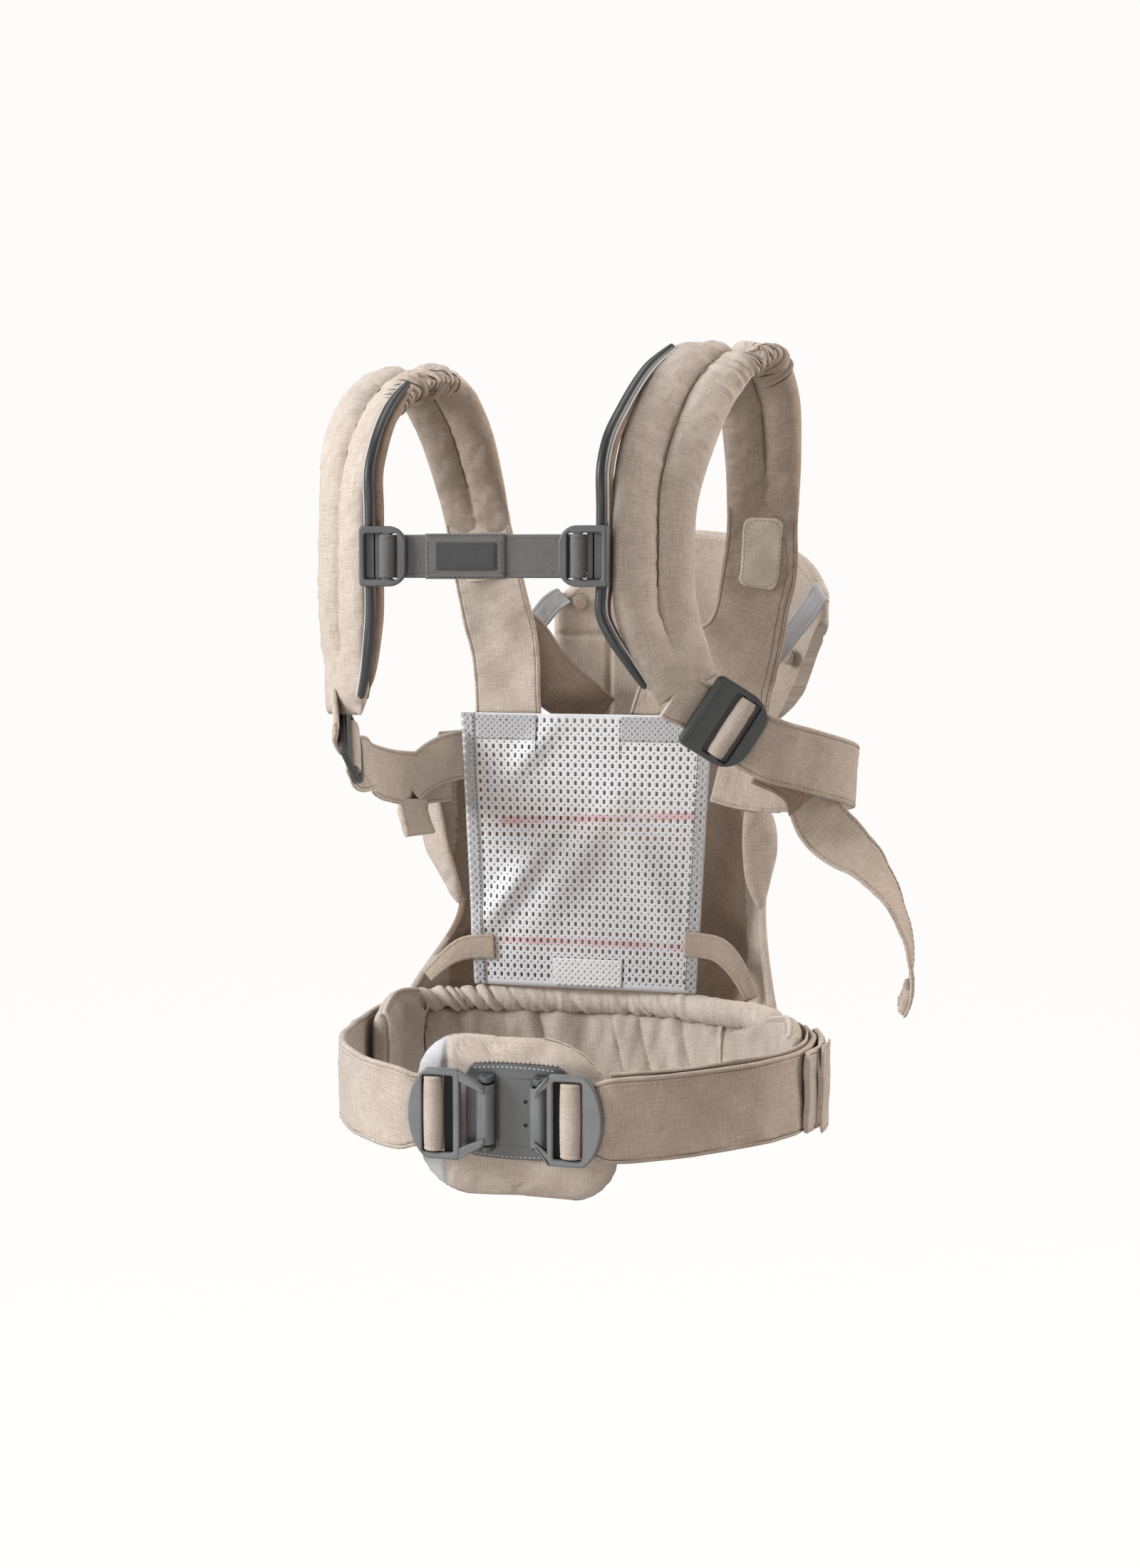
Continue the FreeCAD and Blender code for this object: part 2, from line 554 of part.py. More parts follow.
def make_side_webbing():
    wide = SIDE_WEBBING_WIDTH
    t = WEBBING_THICKNESS + 0.7
    shapes["side_webbing_right"] = band([
        ((150.0, -73.0, 217.0), (0.5, 0.15, 0.85), wide),
        ((168.0, -55.0, 210.0), (0.35, 0.15, 0.9), wide),
        ((185.0, -28.0, 202.0), (0.2, 0.1, 0.95), wide),
        ((191.0, 0.0, 196.0), (0.1, 0.05, 1.0), wide),
        ((183.0, 34.0, 190.0), (-0.05, 0.0, 1.0), wide),
        ((160.0, 66.0, 184.0), (-0.1, 0.0, 1.0), wide),
        ((130.0, 88.0, 181.0), (0.0, 0.0, 1.0), wide),
    ], t)
    # The spare length comes back inside the loaded webbing, then hangs free.
    shapes["webbing_return_right"] = band([
        ((148.0, -66.0, 212.0), (0.5, 0.15, 0.85), wide),
        ((159.0, -53.0, 205.0), (0.4, 0.15, 0.9), wide),
        ((168.0, -36.0, 195.0), (0.45, 0.2, 0.85), wide),
    ], t)
    shapes["webbing_tail_right"] = band([
        ((170.0, -24.0, 168.0), (0.72, 0.45, 0.5), wide),
        ((185.0, -25.0, 156.0), (0.7, 0.5, 0.5), wide),
        ((203.0, -28.0, 143.0), (0.6, 0.6, 0.5), wide),
        ((218.0, -31.0, 124.0), (0.4, 0.8, 0.35), wide),
        ((228.0, -34.0, 102.0), (0.2, 0.95, 0.1), wide),
        ((231.0, -36.0, 80.0), (0.15, 1.0, 0.0), wide),
        ((229.0, -36.0, 60.0), (0.15, 1.0, 0.0), wide),
    ], t)
    shapes["side_webbing_left"] = band([
        ((-107.0, -62.0, 200.0), (-0.25, 0.6, 0.62), 36.0),
        ((-111.0, -38.0, 190.0), (-0.2, 0.3, 0.9), 36.0),
        ((-114.0, -5.0, 183.0), (-0.15, 0.1, 1.0), 36.0),
        ((-113.0, 35.0, 180.0), (-0.05, 0.0, 1.0), 36.0),
        ((-106.0, 76.0, 180.0), (0.0, 0.0, 1.0), 36.0),
    ], t)
    shapes["webbing_tail_left"] = band([
        ((-104.0, 40.0, 158.0), (0.2, 1.0, 0.0), 32.0),
        ((-103.0, 38.0, 149.0), (0.2, 1.0, 0.0), 32.0),
        ((-100.5, 35.0, 140.0), (0.2, 1.0, 0.0), 32.0),
    ], t)
    shapes["panel_tab_left"] = band([
        ((-93.0, 96.0, 190.0), (0.0, 0.0, 1.0), 33.0),
        ((-94.5, 80.0, 188.0), (0.0, 0.0, 1.0), 33.0),
        ((-99.0, 56.0, 184.0), (0.0, 0.05, 1.0), 33.0),
        ((-104.0, 36.0, 180.0), (0.0, 0.1, 1.0), 30.0),
    ], t)
    shapes["panel_tab_right"] = band([
        ((90.0, 98.0, 188.0), (0.0, 0.0, 1.0), 44.0),
        ((104.0, 97.0, 184.0), (0.0, 0.0, 1.0), 44.0),
        ((119.0, 92.0, 182.0), (0.0, 0.0, 1.0), 42.0),
    ], t)


# ---------------------------------------------------------------- panels
def make_mesh_panel():
    half_t = MESH_THICKNESS / 2
    corners = [(-83.0, MESH_BOTTOM), (74.0, MESH_BOTTOM), (84.0, MESH_TOP), (-92.0, MESH_TOP)]
    points = [V(x, MESH_Y - half_t, z) for x, z in corners]
    shapes["wearer_panel_mesh"] = plate(Part.makePolygon(points + points[:1]), V(0, MESH_THICKNESS, 0))
    # Bound edges down both sides, on the adult's face of the mesh.
    hem_face = MESH_Y - half_t
    for side, (foot, head) in {"left": (-83.0, -92.0), "right": (74.0, 84.0)}.items():
        inward = -8.0 * SIGN[side]
        strip = [
            V(foot, hem_face, MESH_BOTTOM), V(foot + inward, hem_face, MESH_BOTTOM),
            V(head + inward, hem_face, MESH_TOP), V(head, hem_face, MESH_TOP)]
        shapes["mesh_binding_" + side] = plate(Part.makePolygon(strip + strip[:1]), V(0, -1.2, 0))
    shapes["mesh_label"] = box(-26.0, 22.0, hem_face - 0.8, hem_face, MESH_BOTTOM + 1, MESH_BOTTOM + 20)


def panel_section(height, left, left_cheek, middle, right_cheek, right):
    """One level of the baby-side panel: a bowed strip from edge to edge."""
    outer = [left, left_cheek, middle, right_cheek, right]
    points = [V(x, y, height) for x, y in outer]
    inner = []
    for point, along in zip(points, tangents(points)):
        inner.append(point + V(along.y, -along.x, 0) * PANEL_THICKNESS)
    outer_curve = Part.BSplineCurve()
    outer_curve.interpolate(points)
    inner_curve = Part.BSplineCurve()
    inner_curve.interpolate(list(reversed(inner)))
    return Part.Wire([
        outer_curve.toShape(),
        Part.makeLine(points[-1], inner[-1]),
        inner_curve.toShape(),
        Part.makeLine(inner[0], points[0]),
    ])


def make_front_panel():
    sections = [
        panel_section(12.0, (-140.0, 76.0), (-88.0, 128.0), (0.0, 141.0), (78.0, 127.0), (130.0, 86.0)),
        panel_section(40.0, (-128.0, 96.0), (-76.0, 144.0), (0.0, 160.0), (74.0, 144.0), (122.0, 100.0)),
        panel_section(90.0, (-108.0, 118.0), (-66.0, 172.0), (4.0, 190.0), (70.0, 172.0), (116.0, 116.0)),
        panel_section(138.0, (-122.0, 114.0), (-78.0, 182.0), (4.0, 207.0), (82.0, 182.0), (123.0, 116.0)),
        panel_section(180.0, (-122.0, 110.0), (-80.0, 182.0), (4.0, 208.0), (84.0, 182.0), (122.0, 114.0)),
        panel_section(210.0, (-114.0, 112.0), (-76.0, 176.0), (4.0, 202.0), (82.0, 178.0), (118.0, 118.0)),
    ]
    shapes["front_panel"] = Part.makeLoft(sections, True, False)
    shapes["leg_pad_right"] = band([
        ((110.0, 103.0, 156.0), (0.8, 0.45, 0.0), 20.0),
        ((112.0, 103.0, 130.0), (0.8, 0.45, 0.0), 24.0),
        ((108.0, 102.0, 102.0), (0.8, 0.45, 0.0), 24.0),
        ((104.0, 101.0, 78.0), (0.8, 0.45, 0.0), 18.0),
    ], 7.0)
    shapes["leg_pad_left"] = band([
        ((-111.0, 100.0, 156.0), (-0.8, 0.45, 0.0), 20.0),
        ((-111.0, 101.0, 130.0), (-0.8, 0.45, 0.0), 24.0),
        ((-103.0, 102.5, 102.0), (-0.8, 0.45, 0.0), 22.0),
        ((-96.0, 104.0, 80.0), (-0.8, 0.45, 0.0), 16.0),
    ], 7.0)
    shapes["seat_tape_right"] = band([
        ((84.0, 99.0, 67.0), (0.0, 0.0, 1.0), 17.0),
        ((95.0, 97.0, 64.5), (0.25, 0.0, 1.0), 17.0),
        ((106.0, 94.0, 55.0), (0.7, 0.0, 0.8), 17.0),
        ((113.0, 92.5, 42.0), (0.9, 0.0, 0.4), 17.0),
    ], FABRIC_THICKNESS)
    shapes["seat_tape_left"] = band([
        ((-86.0, 99.0, 60.0), (0.0, 0.0, 1.0), 17.0),
        ((-96.0, 97.0, 58.0), (-0.2, 0.0, 1.0), 17.0),
        ((-107.0, 94.0, 50.0), (-0.6, 0.0, 0.8), 17.0),
        ((-115.0, 91.0, 41.0), (-0.8, 0.0, 0.6), 14.0),
    ], FABRIC_THICKNESS)


# ---------------------------------------------------------------- head support
HEAD_HINGE_Z = 216.0


def make_head_support():
    middle = [(-46.0, 180.0), (-12.0, 196.0), (30.0, 202.0), (75.0, 198.0), (115.0, 180.0), (148.0, 150.0)]
    bottoms = [219.0] * 6
    tops = [306.0, 335.0, 348.0, 346.0, 330.0, 298.0]
    shapes["head_support"] = upright_band(middle, bottoms, tops, 13.0)
    snap_left = Part.makeCylinder(6.0, 1.6, V(-27.0, 180.5, 298.0), V(0.4, -0.9, 0))
    snap_right = Part.makeCylinder(6.0, 1.6, V(126.0, 161.2, 262.0), V(-0.64, -0.77, 0))
    shapes["head_snaps"] = Part.makeCompound([snap_left, snap_right])
    shapes["head_elastic_left"] = band([
        ((-45.0, 169.0, 297.0), (0.5, 0.2, 0.85), 16.0),
        ((-52.0, 162.0, 287.0), (0.5, 0.2, 0.85), 16.0),
        ((-60.0, 152.0, 277.0), (0.5, 0.2, 0.85), 16.0),
    ], 1.2)
    shapes["head_elastic_right"] = band([
        ((151.0, 141.0, 296.0), (-0.5, 0.3, 0.8), 16.0),
        ((144.0, 134.0, 284.0), (-0.5, 0.3, 0.8), 16.0),
        ((135.0, 126.0, 270.0), (-0.5, 0.3, 0.8), 16.0),
    ], 1.2)
    # Strap between the left shoulder strap and the top of the baby-side panel.
    shapes["panel_strap_left"] = band([
        ((-54.0, 121.0, 272.0), (0.65, 0.2, 0.75), 40.0),
        ((-43.0, 134.0, 252.0), (0.65, 0.2, 0.75), 40.0),
        ((-29.0, 148.0, 236.0), (0.65, 0.2, 0.75), 38.0),
        ((-16.0, 160.0, 225.0), (0.65, 0.2, 0.75), 34.0),
    ], FABRIC_THICKNESS)


def main():
    os.makedirs("parts", exist_ok=True)
    make_belt()
    make_waist_pad()
    make_lumbar_pad()
    make_buckle()
    make_shoulder_pads()
    make_front_straps()
    make_rails()
    make_chest_strap()
    make_glides()
    make_side_webbing()
    make_mesh_panel()
    make_front_panel()
    make_head_support()
    for name, shape in shapes.items():
        if not shape.isValid() or shape.Volume < 1:
            print("check", name, shape.isValid(), round(shape.Volume, 1))
        shape.exportStep("parts/" + name + ".step")
    print(len(shapes), "parts")


main()
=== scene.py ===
import math
import bmesh
import bpy
import numpy as np
from mathutils import Matrix, Vector
from mathutils.kdtree import KDTree


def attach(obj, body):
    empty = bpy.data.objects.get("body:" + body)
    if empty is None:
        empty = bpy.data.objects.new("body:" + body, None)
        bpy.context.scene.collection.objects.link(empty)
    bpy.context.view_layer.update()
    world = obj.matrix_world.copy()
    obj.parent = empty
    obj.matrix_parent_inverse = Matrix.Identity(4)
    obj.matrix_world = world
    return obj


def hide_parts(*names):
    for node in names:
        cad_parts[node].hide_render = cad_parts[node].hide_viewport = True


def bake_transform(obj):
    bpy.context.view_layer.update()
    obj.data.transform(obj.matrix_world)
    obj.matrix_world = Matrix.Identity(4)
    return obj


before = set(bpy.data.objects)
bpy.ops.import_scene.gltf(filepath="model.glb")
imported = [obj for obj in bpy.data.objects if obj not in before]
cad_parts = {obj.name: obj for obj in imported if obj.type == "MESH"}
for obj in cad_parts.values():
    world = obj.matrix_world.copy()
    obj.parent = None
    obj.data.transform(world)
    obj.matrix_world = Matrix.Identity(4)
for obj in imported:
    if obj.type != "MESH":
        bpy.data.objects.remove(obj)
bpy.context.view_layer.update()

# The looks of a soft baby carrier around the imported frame.  Everything is in metres with +Z up,
# -Y towards the adult's back and the camera; routes and stations are written in millimetres.
MM = 0.001
TAU = 2 * math.pi
SIGN = {"left": -1.0, "right": 1.0}
SIDES = ("left", "right")
FRONT = np.array([0.0, -1.0, 0.0])  # towards the adult's back and the camera
STANDING = ((1, 0, 0), (0, 0, 1), (0, -1, 0))  # a flat plate's own axes once it stands, facing FRONT
LYING = ((1, 0, 0), (0, -1, 0), (0, 0, -1))  # a plate's axes once it lies flat


# ---------------------------------------------------------------- camera, light, floor
def fill(node, values):
    """Sets a node's sockets by name."""
    for name, value in values.items():
        node.inputs[name].default_value = value


def make_stage():
    """Camera at 14 degrees to the side and 5.7 up, four soft lights, pale floor and backdrop."""
    azimuth, elevation, distance = math.radians(14.0), math.radians(5.7), 1.4
    target = Vector((0.0097, 0.0024, 0.186))
    back = Vector((
        math.sin(azimuth) * math.cos(elevation),
        -math.cos(azimuth) * math.cos(elevation),
        math.sin(elevation)))
    data = bpy.data.cameras.new("camera")
    data.lens = 50.4
    data.sensor_width = 36.0
    camera = bpy.data.objects.new("camera", data)
    camera.location = target + back * distance
    camera.rotation_euler = (-back).to_track_quat("-Z", "Y").to_euler()
    bpy.context.collection.objects.link(camera)
    scene = bpy.context.scene
    scene.camera = camera
    scene.view_settings.view_transform = "Standard"

    lights = {
        "key": ((-1.55, -0.95, 1), 1, 42, (0.965, 0.985, 1)),
        "edge": ((1.5, 0.70, 0.85), 0.7, 23.0, (1.0, 0.93, 0.86)),
        "top": ((-0.1, 0.2, 1.9), 0.9, 12, (1, 1, 1)),
        "front": ((0.0, -1.75, -0.50), 1.2, 25.0, (1.0, 0.94, 0.88)),
    }
    for name, (place, size, power, colour) in lights.items():
        light = bpy.data.lights.new(name, "AREA")
        light.size = size
        light.energy = power
        light.color = colour
        lamp = bpy.data.objects.new(name, light)
        lamp.location = place
        lamp.rotation_euler = (target - Vector(place)).to_track_quat("-Z", "Y").to_euler()
        bpy.context.collection.objects.link(lamp)
    world = bpy.data.worlds.new("studio")
    world.use_nodes = True
    fill(world.node_tree.nodes["Background"], {"Color": (1.0, 0.91, 0.83, 1.0), "Strength": 0.25})
    scene.world = world

    white = bpy.data.materials.new("studio_white")
    white.use_nodes = True
    fill(white.node_tree.nodes["Principled BSDF"], {
        "Base Color": (0.03, 0.03, 0.03, 1.0), "Roughness": 1.0, "Specular IOR Level": 0.0,
        "Emission Color": (0.975, 0.966, 0.948, 1.0), "Emission Strength": 1.0})
    bpy.ops.mesh.primitive_circle_add(vertices=64, radius=7.0, fill_type="NGON", location=(0, 0, -0.42))
    floor = bpy.context.object
    floor.name = "studio_floor"
    floor.data.materials.append(white)
    floor.visible_diffuse = False
    glow = bpy.data.materials.new("studio_backdrop")
    glow.use_nodes = True
    glow_tree = glow.node_tree
    glow_tree.nodes.clear()
    emission = glow_tree.nodes.new("ShaderNodeEmission")
    fill(emission, {"Color": (0.982, 0.973, 0.955, 1.0)})
    output = glow_tree.nodes.new("ShaderNodeOutputMaterial")
    glow_tree.links.new(emission.outputs[0], output.inputs[0])
    bpy.ops.mesh.primitive_uv_sphere_add(segments=48, ring_count=24, radius=6.9, location=(0, 0, 0.2))
    dome = bpy.context.object
    dome.name = "studio_backdrop"
    dome.data.materials.append(glow)
    dome.visible_diffuse = False
    dome.visible_glossy = False
    dome.visible_shadow = False


make_stage()


# ---------------------------------------------------------------- materials
def srgb(red, green, blue):
    """A colour picked as 0..255 display values, as linear values for a shader."""
    found = []
    for value in (red, green, blue):
        value /= 255.0
        found.append(value / 12.92 if value <= 0.04045 else ((value + 0.055) / 1.055) ** 2.4)
    return (*found, 1.0)


BAND = 0.31416  # a wave texture's scale where its bands are 1 mm apart


class Nodes:
    """A short way to write a material's node tree."""

    def __init__(self, name, roughness, sheen=0.0, specular=0.5):
        self.material = bpy.data.materials.new(name)
        self.material.use_nodes = True
        self.tree = self.material.node_tree
        self.shader = self.tree.nodes["Principled BSDF"]
        fill(self.shader, {
            "Roughness": roughness, "Sheen Weight": sheen, "Sheen Roughness": 0.55,
            "Specular IOR Level": specular})

    def add(self, kind, **settings):
        """A node; each setting is one of its properties, an input by name or, as i0, by number."""
        made = self.tree.nodes.new("ShaderNode" + kind)
        for key, value in settings.items():
            if hasattr(made, key):
                setattr(made, key, value)
                continue
            socket = made.inputs[int(key[1:]) if key[0] == "i" and key[1:].isdigit() else key]
            if isinstance(value, bpy.types.NodeSocket):
                self.tree.links.new(value, socket)
            else:
                socket.default_value = value
        return made

    def math(self, operation, first, second=0.0):
        return self.add("Math", operation=operation, i0=first, i1=second).outputs[0]

    def sum_of(self, first, share, second, other):
        """Two values, each times its share, added."""
        return self.math(
            "ADD", self.math("MULTIPLY", first, share), self.math("MULTIPLY", second, other))

    def millimetres(self):
        return self.scaled(self.add("UVMap").outputs[0], (1000.0, 1000.0, 1.0))

    def wave(self, source, direction, pitch, distortion=0.0):
        """Threads side by side, a pitch in mm apart."""
        return self.add(
            "TexWave", Vector=source, bands_direction=direction, Scale=BAND / pitch,
            Distortion=distortion).outputs["Fac"]

    def scaled(self, source, scale):
        return self.add("VectorMath", operation="MULTIPLY", i0=source, i1=scale).outputs[0]

    def noise(self, source, scale, detail=2.0):
        return self.add("TexNoise", Vector=source, Scale=scale, Detail=detail).outputs["Fac"]

    def ramp(self, factor, stops):
        made = self.add("ValToRGB", Fac=factor)
        elements = made.color_ramp.elements
        while len(elements) < len(stops):
            elements.new(0.5)
        for element, (place, colour) in zip(elements, stops):
            element.position = place
            element.color = colour
        return made.outputs["Color"]

    def mix(self, factor, first, second, blend="MIX"):
        return self.add(
            "Mix", data_type="RGBA", blend_type=blend, i0=factor, i6=first, i7=second).outputs[2]

    def painted_occlusion_shade(self, colour, depth):
        """Painted shade: darker where surfaces meet close together, as ambient occlusion finds them."""
        hollow = self.add("AmbientOcclusion", samples=6, Distance=0.008).outputs["AO"]
        low = (depth, depth * 0.92, depth * 0.86, 1.0)
        shade = self.ramp(hollow, [(0.25, low), (0.74, (1, 1, 1, 1))])
        return self.mix(1.0, colour, shade, "MULTIPLY")

    def bump(self, height, strength, distance):
        bump = self.add("Bump", Strength=strength, Distance=distance, Height=height)
        self.tree.links.new(bump.outputs[0], self.shader.inputs["Normal"])

    def finish(self, colour, roughness=None):
        self.tree.links.new(colour, self.shader.inputs["Base Color"])
        if roughness is not None:
            self.tree.links.new(roughness, self.shader.inputs["Roughness"])
        return self.material


def woven(name, light, dark, pitch=0.55, streaks=0.55, relief=0.35):
    """Plain weave of mottled yarn: over and under threads, with streaks along both of them."""
    made = Nodes(name, 0.88, 0.12, 0.25)
    millimetres = made.millimetres()
    warp = made.wave(millimetres, "X", pitch, 0.6)
    weft = made.wave(millimetres, "Y", pitch, 0.6)
    over = made.add("TexChecker", Vector=millimetres, Scale=1.0 / pitch).outputs["Fac"]
    threads = made.mix(over, warp, weft)
    warp_streak = made.noise(made.scaled(millimetres, (2.2, 0.16, 1.0)), 1.0, 3.0)
    weft_streak = made.noise(made.scaled(millimetres, (0.13, 2.0, 1.0)), 1.0, 3.0)
    melange = made.sum_of(warp_streak, 0.5, weft_streak, 0.5)
    fleck = made.noise(millimetres, 1.4, 2.0)
    slub = made.math(
        "ADD", made.noise(made.scaled(millimetres, (1.05, 0.07, 1.0)), 1.0, 3.0),
        made.noise(made.scaled(millimetres, (0.08, 1.0, 1.0)), 1.0, 3.0))
    cloud = made.noise(millimetres, 0.035, 2.0)
    tone = made.sum_of(melange, streaks, fleck, 1.0 - streaks)
    for source, middle, share in ((cloud, 0.5, 0.20), (slub, 1.0, 0.24), (threads, 0.5, 0.10)):
        tone = made.math(
            "ADD", tone, made.math("MULTIPLY", made.math("SUBTRACT", source, middle), share))
    # Painted shade: the yarn's colour is darkened where surfaces close in.
    colour = made.painted_occlusion_shade(made.ramp(tone, [(0.38, dark), (0.60, light)]), 0.42)
    made.bump(made.math("ADD", threads, made.math("MULTIPLY", fleck, 0.6)), relief, 0.00022)
    return made.finish(colour)


def webbing(name, light, dark):
    """Narrow woven tape: close ribs across, with a slanting herringbone."""
    made = Nodes(name, 0.72, 0.08, 0.35)
    millimetres = made.millimetres()
    parts = made.add("SeparateXYZ", Vector=millimetres)
    zigzag = made.math("PINGPONG", parts.outputs[0], 1.6)
    slanted = made.add(
        "CombineXYZ", X=made.math("ADD", parts.outputs[1], zigzag), Y=parts.outputs[0]).outputs[0]
    rib = made.wave(slanted, "X", 0.95, 0.8)
    line = made.wave(millimetres, "X", 1.6)
    grain = made.noise(millimetres, 1.8, 2.0)
    tone = made.sum_of(rib, 0.55, grain, 0.45)
    made.bump(made.math("ADD", rib, made.math("MULTIPLY", line, 0.35)), 0.45, 0.0003)
    return made.finish(made.ramp(tone, [(0.25, dark), (0.75, light)]))


def plastic(name, colour, roughness=0.42, grain=0.18):
    """Moulded plastic: fine spark-eroded texture, faint flow clouds, slightly uneven gloss."""
    made = Nodes(name, roughness, 0.0, 0.5)
    place = made.add("TexCoord").outputs["Object"]
    fine = made.noise(place, 2600.0, 3.0)
    cloud = made.noise(place, 60.0, 3.0)
    lighter = tuple(min(1.0, value * 1.25) for value in colour[:3]) + (1.0,)
    darker = tuple(value * 0.82 for value in colour[:3]) + (1.0,)
    tone = made.sum_of(cloud, 0.6, fine, 0.4)
    gloss = made.add("MapRange", Value=cloud)
    fill(gloss, {"To Min": roughness - 0.06, "To Max": roughness + 0.10})
    made.bump(fine, grain, 0.00008)
    # Painted shade: the plastic's colour is darkened where surfaces close in.
    return made.finish(
        made.painted_occlusion_shade(made.ramp(tone, [(0.3, darker), (0.7, lighter)]), 0.30), gloss.outputs[0])


def knitted(name, base, shade, band=None, bands=()):
    """Open knit: small loops in rows; some rows may be knitted in another yarn."""
    made = Nodes(name, 0.8, 0.10, 0.3)
    millimetres = made.millimetres()
    loops = made.wave(millimetres, "Y", 0.8, 1.2)
    wales = made.wave(millimetres, "X", 1.25, 0.5)
    height = made.math("MULTIPLY", loops, wales)
    grain = made.noise(millimetres, 1.5, 2.0)
    tone = made.sum_of(height, 0.5, grain, 0.5)
    colour = made.ramp(tone, [(0.2, shade), (0.6, base)])
    if band is not None:
        place = made.add("SeparateXYZ", Vector=millimetres)
        row = place.outputs[1]
        patchy = made.ramp(
            made.noise(millimetres, 0.05, 2.0), [(0.3, (0.25, 0.25, 0.25, 1)), (0.6, (1, 1, 1, 1))])
        inside = None
        for low, high in bands:
            above = made.math("GREATER_THAN", row, low)
            below = made.math("LESS_THAN", row, high)
            both = made.math("MULTIPLY", above, below)
            both = made.math("MULTIPLY", both, made.math("GREATER_THAN", place.outputs[0], -64.0))
            inside = both if inside is None else made.math("MAXIMUM", inside, both)
        colour = made.mix(
            made.math("MULTIPLY", made.math("MULTIPLY", inside, patchy), 0.62), colour, band)
    made.bump(height, 0.4, 0.0003)
    return made.finish(colour)


BEIGE = woven("beige_fabric", srgb(214, 203, 193), srgb(180, 165, 152))
# A lighter copy of the beige for the roll on the waist pad's top: painted light.
LIT_ROLL = woven("beige_roll_painted_light", srgb(226, 216, 206), srgb(196, 181, 168))
# A darker copy of the beige for parts on the right, turned from the key light: painted shade.
SHADED_SIDE_BEIGE = woven("beige_side_painted_shade", srgb(206, 193, 181), srgb(171, 155, 141))
# A darker copy of the beige: painted shade on back faces, pleats and straps turned from the light.
SHADED_BEIGE = woven("beige_painted_shade", srgb(196, 181, 167), srgb(160, 143, 129))
# A darker, browner copy of the beige: painted shade on inner faces, folds and walls turned from the
# light.
SHADE_LINING = woven("beige_lining", srgb(182, 162, 145), srgb(147, 126, 110), pitch=0.45)
PATCH = woven(
    "beige_patch", srgb(240, 230, 219), srgb(214, 200, 187), pitch=0.9, streaks=0.25, relief=0.6)
BEIGE_TAPE = woven(
    "beige_tape", srgb(202, 187, 173), srgb(168, 151, 136), pitch=0.9, streaks=0.3, relief=0.6)
# Beige thread, darker than its own colour: partly painted shade along the stitch lines.
THREAD = woven("beige_thread", srgb(190, 176, 162), srgb(166, 151, 137), pitch=0.3)
SILVER_THREAD = woven("silver_thread", srgb(222, 223, 225), srgb(196, 198, 200), pitch=0.3)
PIPING = woven("beige_piping", srgb(228, 218, 208), srgb(204, 191, 179), pitch=0.4)
ELASTIC = woven("grey_elastic", srgb(188, 188, 192), srgb(164, 164, 168), pitch=0.6, streaks=0.3)
GREY_THREAD = woven("grey_thread", srgb(82, 84, 87), srgb(60, 62, 65), pitch=0.3)
TRIM = woven("grey_trim", srgb(222, 223, 226), srgb(196, 198, 203), pitch=0.5, streaks=0.3)
WEBBING = webbing("grey_webbing", srgb(128, 128, 128), srgb(82, 83, 84))
LABEL_GREY = webbing("woven_patch", srgb(82, 83, 86), srgb(58, 59, 62))
SLATE = plastic("slate_plastic", srgb(88, 91, 94), 0.42)
FRAME = plastic("frame_plastic", srgb(114, 117, 120), 0.42)
GLIDE = plastic("glide_plastic", srgb(58, 60, 62), 0.45)
PIN = plastic("pin_plastic", srgb(58, 60, 63), 0.35)
RAIL = plastic("rail_plastic", srgb(50, 52, 54), 0.42, 0.1)
# Near-black plastic: painted shade for deep slots and small hollows.
RECESS_SHADE = plastic("recess_painted_shade_plastic", srgb(22, 23, 24), 0.8, 0.05)
# Dark brown for thin tubes in grooves and creases: painted shade of seams and folds.
SEAM_SHADE = woven("seam_painted_shade", srgb(128, 110, 96), srgb(96, 80, 68), pitch=0.3)
SNAP = plastic("snap_plastic", srgb(168, 151, 137), 0.45, 0.08)
MESH_BACK = knitted("mesh_backing", srgb(196, 196, 200), srgb(160, 160, 165))
HEM = knitted("mesh_hem", srgb(214, 215, 218), srgb(168, 169, 174))
LABEL_WHITE = woven("label_white", srgb(250, 250, 252), srgb(236, 236, 239), pitch=0.35, streaks=0.2)


# ---------------------------------------------------------------- geometry helpers
def unit(rows):
    """Rows scaled to length 1."""
    return rows / np.maximum(np.linalg.norm(rows, axis=-1, keepdims=True), 1e-12)


def lengths(points):
    """Distance from the first point along a row of points."""
    steps = np.linalg.norm(np.diff(points[:, :3], axis=0), axis=1)
    return np.concatenate([[0.0], np.cumsum(steps)])


def smooth(rows, count):
    """A smooth curve through rows of numbers whose first three are a point, at even steps."""
    rows = np.array(rows, float)
    knots = lengths(rows)
    slopes = np.gradient(rows, knots, axis=0)
    dense = np.linspace(0.0, knots[-1], 40 * len(rows))
    span = np.clip(np.searchsorted(knots, dense, "right") - 1, 0, len(rows) - 2)
    wide = (knots[span + 1] - knots[span])[:, None]
    t = (dense[:, None] - knots[span][:, None]) / wide
    curve = (
        (2 * t**3 - 3 * t**2 + 1) * rows[span] + (t**3 - 2 * t**2 + t) * slopes[span] * wide
        + (3 * t**2 - 2 * t**3) * rows[span + 1] + (t**3 - t**2) * slopes[span + 1] * wide)
    arc = lengths(curve)
    even = np.linspace(0.0, arc[-1], count)
    return np.stack([np.interp(even, arc, column) for column in curve.T], 1)


RIPPLE_WAVES = 9


def ripple(points, size, seed):
    """Smooth random relief, about -1 to 1, from plane waves of about one size in metres."""
    draw = np.random.default_rng(seed)
    total = np.zeros(points.shape[:-1])
    for _ in range(RIPPLE_WAVES):
        direction = unit(draw.normal(size=3))
        length = size * draw.uniform(0.7, 1.5)
        total += np.sin(points @ direction * TAU / length + draw.uniform(0, TAU))
    return total / (0.55 * RIPPLE_WAVES**0.5 * 1.6)


